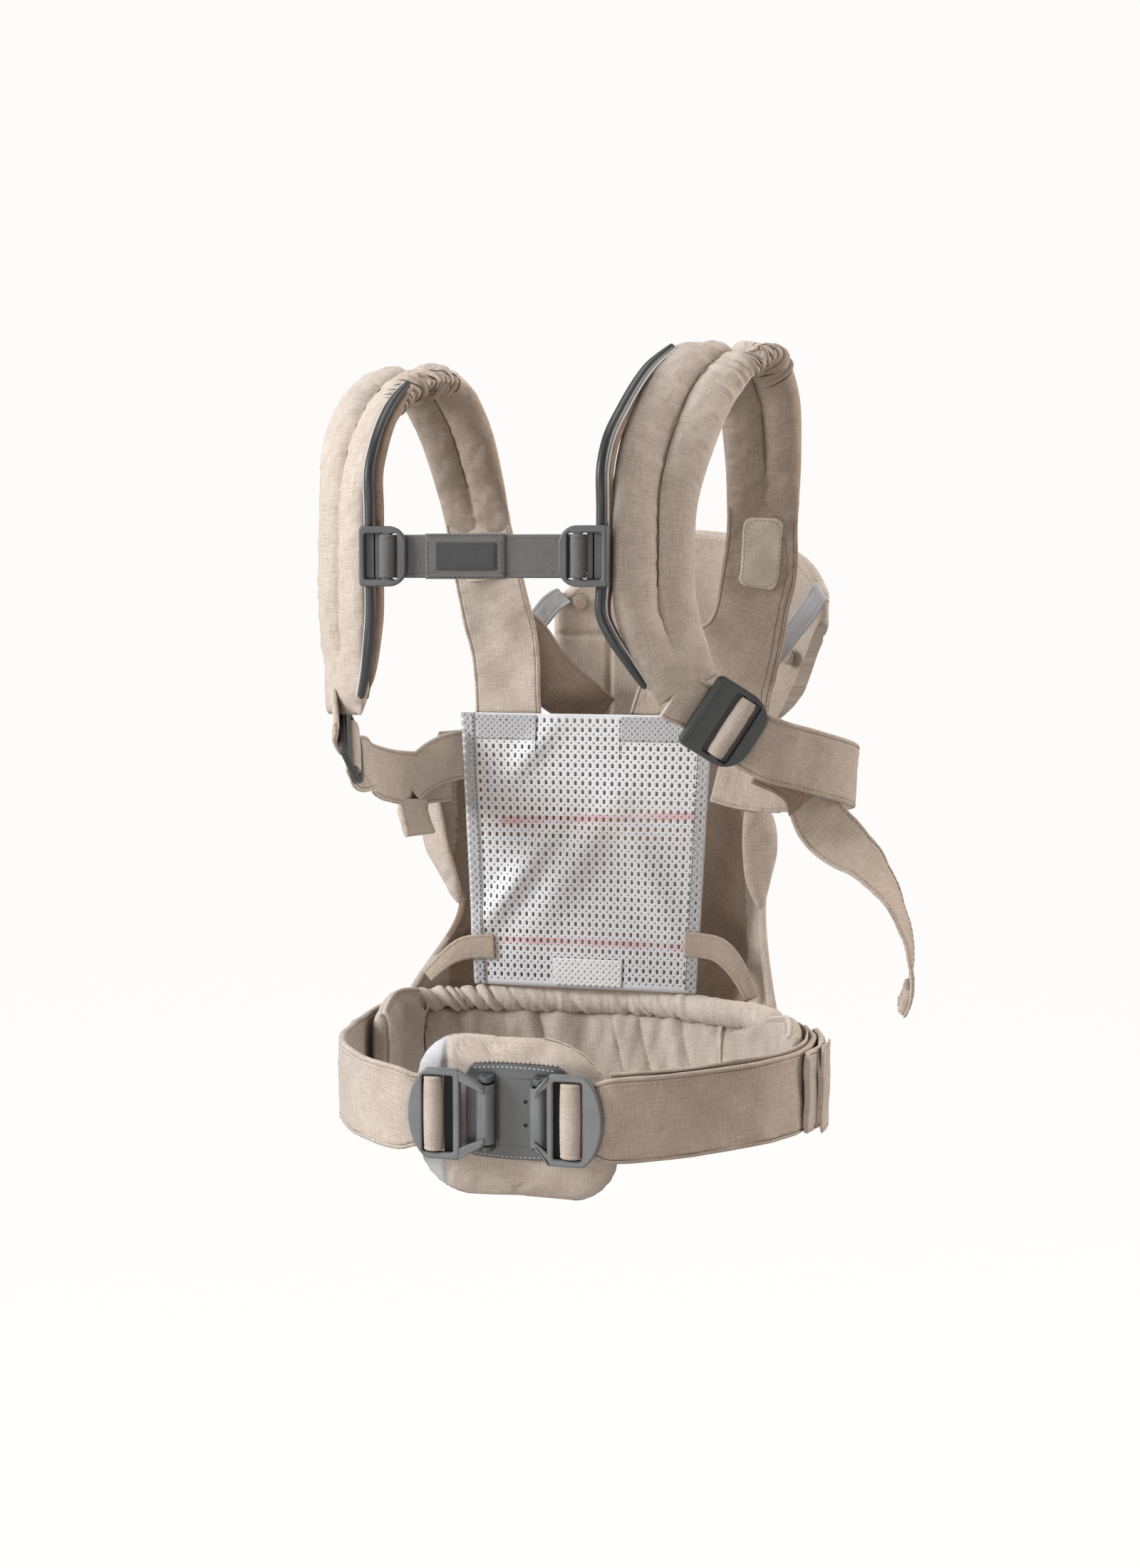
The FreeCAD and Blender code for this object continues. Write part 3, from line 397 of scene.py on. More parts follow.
def gathers(along, pitch, seed):
    """Irregular pleats along a seam, about -1 to 1."""
    draw = np.random.default_rng(seed)
    total = np.zeros(np.shape(along))
    for share in (1.0, 1.37, 0.71, 1.93):
        total += np.sin(along * TAU / (pitch / share) + draw.uniform(0, TAU)) / share
    return total / 2.4


def bell(distance, width):
    """1 at no distance, falling smoothly to 0 over about twice the width."""
    return np.exp(-(distance / width) ** 2)


def rounding(distance, reach):
    """Height share of a rounded edge: 0 at the edge, up to 1 a reach away from it."""
    return np.sqrt(1 - (1 - np.clip(distance / reach, 0, 1)) ** 2)


def bunched(count):
    """Numbers from -1 to 1, close together at both ends."""
    return np.sin(np.linspace(-np.pi / 2, np.pi / 2, count))


def half_width(z, width, height, radius):
    """Half width of a rounded rectangle at a height from its middle."""
    above = np.clip(np.abs(z) - (height / 2 - radius), 0, radius)
    return width / 2 - radius + np.sqrt(np.maximum(radius**2 - above**2, 0))


def polygon_vectors(mesh, field):
    """The normals or centres of all polygons, one row each."""
    found = np.zeros(len(mesh.polygons) * 3)
    mesh.polygons.foreach_get(field, found)
    return found.reshape(-1, 3)


def lobes(offset, bounds, floors, power=2.6):
    """Height share of sewn channels: rounded between bounds, down to a floor at each bound."""
    height = np.zeros(np.shape(offset))
    for low, high, floor_low, floor_high in zip(bounds[:-1], bounds[1:], floors[:-1], floors[1:]):
        inside = (offset >= low - 1e-9) & (offset <= high + 1e-9)
        place = np.clip((2 * offset - low - high) / (high - low), -1, 1)
        dome = (1 - np.abs(place) ** power) ** 0.55
        floor = floor_low + (floor_high - floor_low) * (place + 1) / 2
        height = np.where(inside, np.maximum(height, floor + (1 - floor) * dome), height)
    return height


class Surface:
    """A grid of points with normals, addressed in metres: u across from the middle, v along."""

    def __init__(self, points, normals):
        self.points, self.normals = points, normals
        steps = np.linalg.norm(np.diff(points, axis=1), axis=2)
        across = np.concatenate([np.zeros((len(points), 1)), np.cumsum(steps, axis=1)], axis=1)
        self.u = across - across[:, -1:] / 2
        self.v = lengths(points[:, points.shape[1] // 2])

    def from_ends(self):
        """Each row's distance from the nearer end, as a column."""
        return np.minimum(self.v, self.v[-1] - self.v)[:, None]

    def at(self, u, v, lift=0.0):
        rows, columns = self.u.shape
        i = np.clip(np.interp(v, self.v, np.arange(rows)), 0, rows - 1.001)
        i0, share = int(i), i - int(i)
        line = self.u[i0] * (1 - share) + self.u[i0 + 1] * share
        j = np.clip(np.interp(u, line, np.arange(columns)), 0, columns - 1.001)
        j0, side = int(j), j - int(j)
        weights = ((1 - share) * (1 - side), (1 - share) * side, share * (1 - side), share * side)
        corners = ((i0, j0), (i0, j0 + 1), (i0 + 1, j0), (i0 + 1, j0 + 1))
        point = sum(w * self.points[c] for w, c in zip(weights, corners))
        normal = unit(sum(w * self.normals[c] for w, c in zip(weights, corners)))
        return point + normal * lift, normal


def grid_normals(points, towards):
    """Normals of a grid of points, turned to the side that a direction or grid of them shows."""
    down = np.gradient(points, axis=0)
    across = np.gradient(points, axis=1)
    normals = unit(np.cross(down, across))
    flip = np.sign((normals * towards).sum(-1, keepdims=True))
    return normals * np.where(flip == 0, 1, flip)


def add_mesh(name, vertices, faces, material, uv=None, sharp=50.0, weld=True):
    """A smooth-shaded mesh object; weld merges points that fall together, as at tapered ends."""
    mesh = bpy.data.meshes.new(name)
    mesh.from_pydata(np.asarray(vertices).tolist(), [], faces)
    mesh.materials.append(material)
    if uv is not None:
        corners = np.zeros(len(mesh.loops), np.int32)
        mesh.loops.foreach_get("vertex_index", corners)
        layer = mesh.uv_layers.new(name="UVMap")
        layer.data.foreach_set("uv", np.asarray(uv, np.float32)[corners].ravel())
    made = bpy.data.objects.new(name, mesh)
    bpy.context.collection.objects.link(made)
    if weld:
        shape = bmesh.new()
        shape.from_mesh(mesh)
        bmesh.ops.remove_doubles(shape, verts=shape.verts, dist=2e-6)
        bmesh.ops.dissolve_degenerate(shape, edges=shape.edges, dist=2e-6)
        shape.to_mesh(mesh)
        shape.free()
    mesh.shade_smooth()
    mesh.set_sharp_from_angle(angle=math.radians(sharp))
    return made


def quilt(name, surface, front, back, material, sharp=60.0, back_material=None):
    """A closed padded form: a surface raised by front on one side and by back on the other."""
    rows, columns = front.shape
    top = surface.points + surface.normals * front[..., None]
    low = surface.points - surface.normals * back[..., None]
    count = rows * columns
    ids = np.arange(count).reshape(rows, columns)
    quads = np.stack([ids[:-1, :-1], ids[:-1, 1:], ids[1:, 1:], ids[1:, :-1]], -1).reshape(-1, 4)
    middle = (rows // 2, columns // 2)
    down = surface.points[middle[0] + 1, middle[1]] - surface.points[middle]
    across = surface.points[middle[0], middle[1] + 1] - surface.points[middle]
    if np.dot(np.cross(across, down), surface.normals[middle]) < 0:
        quads = quads[:, ::-1]
    faces = quads.tolist() + (quads[:, ::-1] + count).tolist()
    rim = np.concatenate([ids[0, :-1], ids[:-1, -1], ids[-1, :0:-1], ids[:0:-1, 0]])
    after = np.roll(rim, -1)
    walls = np.stack([rim, after, after + count, rim + count], -1)
    if np.dot(np.cross(across, down), surface.normals[middle]) > 0:
        walls = walls[:, ::-1]
    faces += walls.tolist()
    along = np.repeat(surface.v[:, None], columns, 1)
    uv = np.stack([surface.u.ravel(), along.ravel()], -1)
    made = add_mesh(
        name, np.concatenate([top.reshape(-1, 3), low.reshape(-1, 3)]), faces, material,
        np.tile(uv, (2, 1)), sharp)
    if back_material is not None:
        made.data.materials.append(back_material)
        facing = polygon_vectors(made.data, "normal")
        centre = polygon_vectors(made.data, "center")
        tree = KDTree(count)
        for number, point in enumerate(surface.points.reshape(-1, 3)):
            tree.insert(point, number)
        tree.balance()
        nearest = [tree.find(point)[1] for point in centre]
        behind = (facing * surface.normals.reshape(-1, 3)[nearest]).sum(1) < 0
        made.data.polygons.foreach_set("material_index", behind.astype(np.int32))
    return made, Surface(top, surface.normals), Surface(low, -surface.normals)


def strap_surface(stations, rows, offsets, flip=1.0):
    """The middle surface of a strap; stations are (centre, width direction, width) in mm."""
    table = [[*np.multiply(centre, MM), *side, width * MM] for centre, side, width in stations]
    table = smooth(table, rows)
    along = unit(np.gradient(table[:, :3], axis=0))
    side = table[:, 3:6]
    side = unit(side - along * (side * along).sum(1, keepdims=True))
    face = flip * unit(np.cross(along, side))
    if callable(offsets):
        offsets = offsets(table[:, 6])
    else:
        offsets = np.multiply.outer(table[:, 6], offsets)
    points = table[:, None, :3] + side[:, None, :] * offsets[..., None]
    normals = np.repeat(face[:, None, :], points.shape[1], 1)
    return Surface(points, normals), offsets


HEM_COLUMNS = np.array([0.0, 0.25, 0.7, 1.4, 2.2, 2.7, 3.2, 4.0, 5.2]) * MM
HEM_HEIGHTS = np.array([0.0, 0.55, 0.85, 1.0, 0.95, 0.62, 0.95, 1.0, 1.0])


def hemmed(width, middle=7):
    """Column offsets of a flat strap, close together at its sewn edges; their height shares are in
    HEM_SHARES.
    """
    width = np.asarray(width)[:, None]
    inner = np.linspace(0, 1, middle + 2)[1:-1]
    left = -width / 2 + HEM_COLUMNS
    right = width / 2 - HEM_COLUMNS[::-1]
    between = left[:, -1:] + (right[:, :1] - left[:, -1:]) * inner
    return np.concatenate([left, between, right], axis=1)


HEM_SHARES = np.concatenate([HEM_HEIGHTS, np.ones(7), HEM_HEIGHTS[::-1]])


def flat_strap(name, stations, thickness, material, rows=60, wrinkle=0.5, seed=1, flip=1.0):
    """A stitched flat strap along its stations: hemmed edges, small wrinkles, rounded ends."""
    surface, _ = strap_surface(stations, rows, hemmed, flip)
    near = surface.from_ends()
    shares = HEM_SHARES[None, :] * np.clip(near / (0.8 * MM), 0, 1) ** 0.5
    wave = ripple(surface.points, 26 * MM, seed) * wrinkle * MM
    calm = np.clip(near / (12 * MM), 0, 1)
    surface.points = surface.points + surface.normals * (wave * calm)[..., None]
    half = thickness * MM / 2 * shares
    grain = 1 + 0.12 * ripple(surface.points, 7 * MM, seed + 50)
    return quilt(name, surface, half * grain, half * grain, material)


stitches = {}
SEWN = ("carrier", "beige")


def stitch(key, points, normals, length=2.4, gap=1.3, width=0.55, height=0.32):
    """Stitches along a line of points; they are collected and made into meshes at the end."""
    points = np.asarray(points)
    normals = np.broadcast_to(normals, points.shape)
    arc = lengths(points)
    for start in np.arange(gap * MM / 2, arc[-1] - length * MM, (length + gap) * MM):
        ends = []
        for place in (start, start + length * MM):
            point, normal = (
                np.array([np.interp(place, arc, column) for column in rows.T])
                for rows in (points, normals))
            ends.append((point, unit(normal)))
        (first, up), (last, _) = ends
        along = unit(last - first)
        side = np.cross(up, along)
        stitches.setdefault(key, []).append((first, last, along, side, up, width * MM / 2, height * MM))


def make_stitches():
    """One mesh for each body and colour of thread."""
    for number, ((place, material_name), found) in enumerate(stitches.items()):
        vertices, faces, uv = [], [], []
        for first, last, along, side, up, half, height in found:
            base = len(vertices)
            inset = along * half * 1.2
            for point, scale in (
                    (first, 0.35), (first + inset, 1.0), (last - inset, 1.0), (last, 0.35)):
                for across, lift in ((-1, -0.35), (-0.7, 0.75), (0.7, 0.75), (1, -0.35)):
                    vertices.append(point + side * across * half * scale + up * lift * height * scale)
                    uv.append((across * half, len(vertices) * 0.0001))
            for ring in range(3):
                for k in range(4):
                    a, b = base + 4 * ring + k, base + 4 * ring + (k + 1) % 4
                    faces.append([a, b, b + 4, a + 4])
            faces.append([base, base + 3, base + 2, base + 1])
            faces.append([base + 12, base + 13, base + 14, base + 15])
        material = {"beige": THREAD, "grey": GREY_THREAD, "silver": SILVER_THREAD}[material_name]
        name = "stitching_" + material_name + "_" + str(number)
        made = add_mesh(name, vertices, faces, material, uv, 40.0, weld=False)
        put(made, place, ())


def line_on(surface, uv_points):
    """A line drawn on a surface through (u, v) corners in metres."""
    points, normals = [], []
    for (u0, v0), (u1, v1) in zip(uv_points[:-1], uv_points[1:]):
        count = max(2, int(math.hypot(u1 - u0, v1 - v0) / (1.5 * MM)))
        for k in range(count + 1):
            share = k / count
            point, normal = surface.at(u0 + (u1 - u0) * share, v0 + (v1 - v0) * share)
            points.append(point)
            normals.append(normal)
    return points, normals


def edge_stitches(key, surface, inset=2.7, start=0.0, stop=1.0, **kind):
    """Stitches along both edges of a strap, an inset in from each."""
    total = surface.v[-1]
    for side in (-1, 1):
        points, normals = [], []
        for v in np.linspace(start * total, stop * total, max(8, int(total / (2 * MM)))):
            row = int(np.interp(v, surface.v, np.arange(len(surface.v))))
            u = side * (surface.u[row, -1] - inset * MM)
            point, normal = surface.at(u, v)
            points.append(point)
            normals.append(normal)
        stitch(key, points, normals, **kind)


def put(made, place, nodes=()):
    """Rides on a body by name; given a blend's arguments instead, it only has its transform baked in
    and does not bend.
    """
    if isinstance(place, str):
        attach(made, place)
    else:
        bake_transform(made)
    if nodes:
        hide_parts(*nodes)
    return made


def sewn_strap(name, place, *shape):
    """A flat strap in its place, with stitches along the edges of both faces."""
    made, one, other = flat_strap(name, *shape)
    put(made, place, (name,))
    for face in (one, other):
        edge_stitches((place, "beige"), face)
    return made


def front_of(one, other):
    """Which face of a strap looks at the adult's side."""
    return one if one.normals[20, 8][1] < 0 else other


def tube_between(
        name, points, radius, material, sides=10, squash=(1.0, 1.0), up=(0, 0, 1), rows=None,
        ends=True):
    """A round or oval closed roll along points in metres; radius may change along it."""
    points = np.asarray(points, float)
    if rows:
        points = smooth(points, rows)
    along = unit(np.gradient(points, axis=0))
    side = unit(np.cross(along, np.asarray(up, float)))
    other = np.cross(side, along)
    radius = np.broadcast_to(np.asarray(radius, float), (len(points),)).copy()
    angles = np.arange(sides) * TAU / sides
    circle_at = (
        side[:, None] * (np.cos(angles) * squash[0])[None, :, None]
        + other[:, None] * (np.sin(angles) * squash[1])[None, :, None])
    if ends:
        radius[0] *= 0.55
        radius[-1] *= 0.55
    rings = points[:, None] + circle_at * radius[:, None, None]
    count = len(points)
    ids = np.arange(count * sides).reshape(count, sides)
    nxt = np.roll(ids, -1, axis=1)
    faces = np.stack([ids[:-1], nxt[:-1], nxt[1:], ids[1:]], -1).reshape(-1, 4)[:, ::-1].tolist()
    faces.append(ids[0].tolist())
    faces.append(ids[-1][::-1].tolist())
    arc = lengths(points)
    around = np.tile(angles * float(np.mean(radius)), (count, 1))
    uv = np.stack([around, np.repeat(arc[:, None], sides, 1)], -1).reshape(-1, 2)
    return add_mesh(name, rings.reshape(-1, 3), faces, material, uv, 60.0)


def plate(name, outline, holes, thickness, material, bevel=0.0008):
    """A flat moulded part from outlines in metres in its own XY plane, with rounded edges."""
    curve = bpy.data.curves.new(name, "CURVE")
    curve.dimensions = "2D"
    curve.fill_mode = "BOTH"
    curve.extrude = thickness / 2 - bevel
    curve.bevel_depth = bevel
    curve.bevel_resolution = 2
    curve.offset = -bevel
    for ring in [outline, *holes]:
        spline = curve.splines.new("POLY")
        spline.points.add(len(ring) - 1)
        for point, (x, y) in zip(spline.points, ring):
            point.co = (x, y, 0.0, 1.0)
        spline.use_cyclic_u = True
    holder = bpy.data.objects.new(name + "_curve", curve)
    bpy.context.collection.objects.link(holder)
    bpy.context.view_layer.update()
    evaluated = holder.evaluated_get(bpy.context.evaluated_depsgraph_get())
    mesh = bpy.data.meshes.new_from_object(evaluated)
    bpy.data.objects.remove(holder)
    mesh.name = name
    mesh.materials.clear()
    mesh.materials.append(material)
    made = bpy.data.objects.new(name, mesh)
    bpy.context.collection.objects.link(made)
    mesh.shade_smooth()
    mesh.set_sharp_from_angle(angle=math.radians(35))
    return made


def rounded(x0, x1, y0, y1, radii, steps=6):
    """A rectangle's outline with a radius at each corner: (x1,y1), (x0,y1), (x0,y0), (x1,y0)."""
    ring = []
    for (x, sx), (y, sy), radius, start in (
            ((x1, -1), (y1, -1), radii[0], 0), ((x0, 1), (y1, -1), radii[1], 90),
            ((x0, 1), (y0, 1), radii[2], 180), ((x1, -1), (y0, 1), radii[3], 270)):
        for k in range(steps + 1):
            angle = math.radians(start + 90 * k / steps)
            ring.append((
                x + sx * radius + radius * math.cos(angle), y + sy * radius + radius * math.sin(angle)))
    return ring


def turn(made, centre, x_axis, y_axis, z_axis):
    """Moves a mesh from the origin so that its axes follow three directions."""
    columns = [*zip(x_axis, y_axis, z_axis, centre), (0, 0, 0, 1)]
    made.data.transform(Matrix(columns))
    if Matrix(columns).determinant() < 0:
        made.data.flip_normals()
    return made


SETTLE_FRAMES = 16


def settle(made, pressure, cap, pinned=None):
    """Swells a sewn form with the cloth simulation; no point moves further than cap."""
    mesh = made.data
    start = np.zeros(len(mesh.vertices) * 3)
    mesh.vertices.foreach_get("co", start)
    start = start.reshape(-1, 3)
    cloth = made.modifiers.new("cloth", "CLOTH")
    settings = cloth.settings
    settings.quality = 6
    settings.mass = 0.25
    settings.tension_stiffness = 18
    settings.compression_stiffness = 12
    settings.shear_stiffness = 6
    settings.bending_stiffness = 0.6
    settings.use_pressure = True
    settings.uniform_pressure_force = pressure
    settings.effector_weights.gravity = 0
    if pinned is not None:
        group = made.vertex_groups.new(name="sewn")
        group.add([int(k) for k in np.nonzero(pinned(start))[0]], 1.0, "REPLACE")
        settings.vertex_group_mass = "sewn"
    cloth.point_cache.frame_start = 1
    cloth.point_cache.frame_end = SETTLE_FRAMES
    scene = bpy.context.scene
    for number in range(1, SETTLE_FRAMES + 1):
        scene.frame_set(number)
    evaluated = made.evaluated_get(bpy.context.evaluated_depsgraph_get())
    moved = np.zeros(len(mesh.vertices) * 3)
    evaluated.data.vertices.foreach_get("co", moved)
    move = moved.reshape(-1, 3) - start
    size = np.linalg.norm(move, axis=1, keepdims=True)
    move *= np.minimum(1.0, cap / np.maximum(size, 1e-9))
    made.modifiers.remove(cloth)
    if pinned is not None:
        made.vertex_groups.clear()
    mesh.vertices.foreach_set("co", (start + move).ravel())
    mesh.update()
    scene.frame_set(1)
    return made


# ---------------------------------------------------------------- waist belt
def upright_surface(points, bottoms, tops, rows, shares):
    """A standing wall along (x, y) points in mm, facing away from the middle of the ring."""
    table = [
        [x * MM, y * MM, 0.0, low * MM, high * MM] for (x, y), low, high in zip(points, bottoms, tops)]
    table = smooth(table, rows)
    low, high = table[:, 3], table[:, 4]
    if callable(shares):
        heights = (low + high)[:, None] / 2 + shares(high - low)
    else:
        heights = low[:, None] + (high - low)[:, None] * np.asarray(shares)
    along = unit(np.gradient(table[:, :2], axis=0))
    face = np.stack([along[:, 1], -along[:, 0], np.zeros(rows)], 1)
    face *= np.sign((face[:, :2] * table[:, :2]).sum(1))[rows // 2]
    columns = heights.shape[1]
    grid = np.repeat(table[:, None, :3], columns, 1)
    grid[..., 2] = heights
    return Surface(grid, np.repeat(face[:, None], columns, 1))


def part_of(surface, first, last):
    """The rows of a surface from first to last."""
    return Surface(surface.points[first:last], surface.normals[first:last])


def belt_piece(name, surface, place, nodes, thickness=4.0, seed=3, double=True, cloth=BEIGE):
    """A length of the waist belt: hemmed at top and bottom, softly padded, stitched along."""
    rows = len(surface.points)
    shares = np.repeat(HEM_SHARES[None, :], rows, 0)
    wave = ripple(surface.points, 34 * MM, seed) * 0.55 * MM
    surface.points = surface.points + surface.normals * (wave * shares)[..., None]
    swell = 1 + 0.10 * ripple(surface.points, 11 * MM, seed + 9)
    half = thickness * MM / 2 * shares * swell
    made, outer, inner = quilt(name, surface, half, half, cloth)
    put(made, place, nodes)
    edge_stitches((place, "beige"), outer)
    if double:
        edge_stitches((place, "beige"), outer, 6.5, length=2.0, gap=1.6)
    edge_stitches((place, "beige"), inner)
    return made, outer, inner


def belt_loop(side, x, half_x, place):
    """The belt's end, sewn round the bar of the buckle frame."""
    bulge = np.array(
        [0.80, 0.93, 1.0, 1.0, 0.95, 1.0, 1.03, 1.05, 1.03, 1.0, 0.95, 1.0, 1.0, 0.93, 0.80])
    heights = np.array(
        [-22.6, -22.3, -21.6, -20.6, -19.8, -19.0, -12.0,
         0.0, 12.0, 19.0, 19.8, 20.6, 21.6, 22.3, 22.6])
    points = [(x * MM, -123.1 * MM, z * MM) for z in heights]
    made = tube_between(
        "belt_loop_" + side, points, half_x * MM * bulge, BEIGE, 24, (1.0, 5.4 / half_x), up=(0, 1, 0),
        ends=False)
    return put(made, place, ("belt_loop_" + side,))


BELT_HALF = 26  # half the belt's height in mm


def belt_wall(points, rows, half=BELT_HALF):
    """The belt's middle surface along (x, y) in mm; a third number is a half height of its own."""
    halves = [point[2] if len(point) > 2 else half for point in points]
    return upright_surface([point[:2] for point in points], [-h for h in halves], halves, rows, hemmed)


def make_belt():
    """The belt's two halves, its end folded back on the right, the keeper and the end loops."""
    left = belt_wall([
        (-128, 80), (-136, 62), (-137, 35), (-135.5, 0), (-130.5, -38), (-120, -65), (-106.5, -84),
        (-90, -102.5), (-75, -113), (-64, -118.3, 25), (-56, -119.4, 22.6), (-46, -119.4, 22.4)], 160)
    cut = int(np.searchsorted(left.v, 0.2017))  # where the strap leaves the adult's side
    swing = ("carrier", "belt_left", (-0.118, -0.068, 0.0), (-0.098, -0.094, 0.0))
    release = ("belt_left", "buckle_left", (-0.074, -0.113, 0.0), (-0.058, -0.119, 0.0))
    belt_piece("belt_left_side", part_of(left, 0, cut + 1), swing, ("belt_strap_left_side",), seed=3)
    belt_piece("belt_left_end", part_of(left, cut, 160), release, ("belt_strap_left_back",), seed=3)
    right = belt_wall([
        (154, 58), (163, 32), (165, 5), (160.5, -22), (145, -50.5), (116, -82), (88, -105.5),
        (72, -114.5), (62, -118.7, 25), (55, -119.4, 22.6), (43, -119.4, 22.4)], 160)
    tilt = ("carrier", "buckle_right", (0.080, -0.108, 0.0), (0.060, -0.118, 0.0))
    # The right half is in the darker side beige: painted shade, as it faces away from the key light.
    belt_piece("belt_right", right, tilt, ("belt_strap_right",), seed=5, cloth=SHADED_SIDE_BEIGE)
    lining = upright_surface([
        (150, 57), (159.5, 31), (161.5, 5), (157, -20), (142, -47.5), (113.5, -78.5), (86, -101.5),
        (71, -110.4), (63, -113.6)], [-23] * 9, [28] * 9, 130, hemmed)
    belt_piece("belt_right_lining", lining, tilt, (), 1.6, seed=6, double=False)
    fold = belt_wall([(166.6, -20), (169.2, -10), (171.2, 5), (169, 30), (163, 50)], 50)
    belt_piece("belt_fold_right", fold, "carrier", ("belt_fold_right",), 3.6, seed=8, double=False)
    second = belt_wall([(171.6, -9), (173.2, 1), (173.2, 14), (170.6, 30)], 30, BELT_HALF - 1)
    belt_piece("belt_fold_right_end", second, "carrier", (), 2.0, seed=11, double=False)
    keeper = belt_wall([(174.6, -9), (176.1, 1), (175.9, 11)], 24, BELT_HALF + 2)
    belt_piece(
        "belt_keeper_right", keeper, "carrier", ("belt_keeper_right",), 1.8, seed=12, double=False)
    belt_loop("left", -43.0, 5.9, "buckle_left")
    belt_loop("right", 41.6, 6.6, "buckle_right")


# ---------------------------------------------------------------- waist pad and lumbar pad
def make_waist_pad():
    """The crumpled pad in front, the gathered roll on its top edge and its two sewn ends."""
    middle = [
        (-115, 82), (-98, 93), (-65, 104.5), (-30, 111), (0, 113),
        (30, 111.5), (65, 103), (98, 87)]
    wave = np.cos(np.pi * np.linspace(0, 1, 34))
    shares = 0.5 - 0.5 * wave * (0.85 + 0.15 * np.abs(wave))
    pad = upright_surface(middle, [-36.0] * 8, [18.5] * 8, 190, shares)
    height = pad.points[..., 2]
    along = np.repeat(pad.v[:, None], height.shape[1], 1)
    dome = lobes(height, [-36 * MM, 18.5 * MM], [0.0, 0.25], 3.4)
    folds = gathers(along + 0.15 * height, 29 * MM, 21) * np.clip((height + 34 * MM) / (45 * MM), 0, 1)
    folds = folds - 2.3 * (1 - np.abs(gathers(along + 0.25 * height, 46 * MM, 24)) ** 0.45)
    creases = ripple(pad.points * np.array([1.0, 1.0, 0.35]), 13 * MM, 22)
    half = 7.5 * MM * dome
    inner = half + (folds * 1.45 + creases * 0.5) * MM * np.clip(dome * 2, 0, 1)
    made, _, _ = quilt("waist_pad", pad, half, np.maximum(inner, 0), BEIGE)
    put(made, "carrier", ("waist_pad",))

    route = [(-116.5, 67), (-119, 74)] + middle + [(118, 80), (136, 64)]
    heights = [14.0, 23.5] + [24.6] * 8 + [24.2, 23.5]
    points = smooth([(x * MM, y * MM, z * MM) for (x, y), z in zip(route, heights)], 300)
    along = unit(np.gradient(points, axis=0))
    side = unit(np.cross(along, (0.0, 0.0, 1.0)))
    angles = np.linspace(0, TAU, 33)[:-1] - math.pi / 2
    arc = lengths(points)
    bottom = 0.5 - 0.5 * np.sin(angles)
    pleats = gathers(arc[:, None] + 0.004 * np.sin(angles)[None, :], 13 * MM, 31)
    fine = gathers(arc[:, None] - 0.003 * np.cos(angles)[None, :], 6.5 * MM, 32)
    envelope = 0.45 + 0.55 * np.abs(gathers(arc, 90 * MM, 33))[:, None]
    strong = (0.30 + 1.8 * bell(arc - 46 * MM, 40 * MM) + 0.8 * bell(arc - 190 * MM, 22 * MM))[:, None]
    sharp = gathers(arc[:, None] + 0.006 * np.sin(angles)[None, :], 19 * MM, 34)
    crease = (1 - np.abs(sharp) ** 0.33) * strong
    swell = (0.085 * pleats + 0.035 * fine) * envelope * (0.35 + 0.65 * bottom)[None, :]
    radius = 9.7 * MM * (1 + swell - 0.24 * crease)
    radius = radius * (0.12 + 0.88 * rounding(np.minimum(arc, arc[-1] - arc), 9 * MM))[:, None]
    circle_at = (
        side[:, None] * np.cos(angles)[None, :, None]
        + np.array([0, 0, 1.0]) * np.sin(angles)[None, :, None])
    rings = points[:, None] + circle_at * radius[..., None]
    count = len(points)
    ids = np.arange(count * 32).reshape(count, 32)
    nxt = np.roll(ids, -1, axis=1)
    faces = np.stack([ids[:-1], ids[1:], nxt[1:], nxt[:-1]], -1).reshape(-1, 4).tolist()
    faces += [ids[0].tolist(), ids[-1][::-1].tolist()]
    uv = np.stack(
        [np.tile(angles * 8.5 * MM, (count, 1)), np.repeat(arc[:, None], 32, 1)], -1).reshape(-1, 2)
    # The roll is in the lighter beige: painted light on its top.
    roll = add_mesh("waist_pad_top_roll", rings.reshape(-1, 3), faces, LIT_ROLL, uv, 80.0)
    put(roll, "carrier", ("waist_pad_top_roll",))

    ends = {
        "left": (
            [(-124, 16), (-125.5, 36), (-125, 58), (-116, 80)], [-32, -36, -36, -36], [27, 34, 36, 33]),
        "right": (
            [(93, 89), (122, 73), (141, 51), (150, 27), (153, 8)], [-36, -36, -36, -35, -32],
            [14, 24, 32, 34, 22]),
    }
    for side_name, (route, lows, highs) in ends.items():
        surface = upright_surface(route, lows, highs, 64, 0.5 - 0.5 * np.cos(np.linspace(0, np.pi, 48)))
        height = surface.points[..., 2]
        low, high = height[:, :1], height[:, -1:]
        share = np.clip((2 * height - low - high) / (high - low), -1, 1)
        dome = (1 - np.abs(share) ** 4) ** 0.5 * rounding(surface.from_ends(), 8 * MM)
        wrinkles = 1 + 0.11 * ripple(surface.points, 16 * MM, 41)
        half = 7.4 * MM * dome * wrinkles
        name = "waist_pad_end_" + side_name
        made, _, inner = quilt(name, surface, half, half, BEIGE)
        put(made, "carrier", (name,))
        edge = [inner.at(inner.u[row, -1] - 5 * MM, inner.v[row], 0.2 * MM) for row in range(6, 58)]
        stitch(SEWN, *zip(*edge))
        columns = [(3, k) for k in range(4, 45)] + [(row, 45) for row in range(4, 60)]
        line = [inner.points[spot] + inner.normals[spot] * 0.5 * MM for spot in columns]
        piping = tube_between("waist_piping_" + side_name, line, 1.4 * MM, PIPING, 8, up=(0, 0.7, 0.7))
        put(piping, "carrier")


def lumbar_reach(z, sign, width, height):
    """How far the lumbar pad reaches to one side at a height from its middle."""
    radius = np.where(z > 0, 50.0 if sign > 0 else 30.0, 30.0 if sign > 0 else 36.0) * MM
    return half_width(z, width, height, radius)


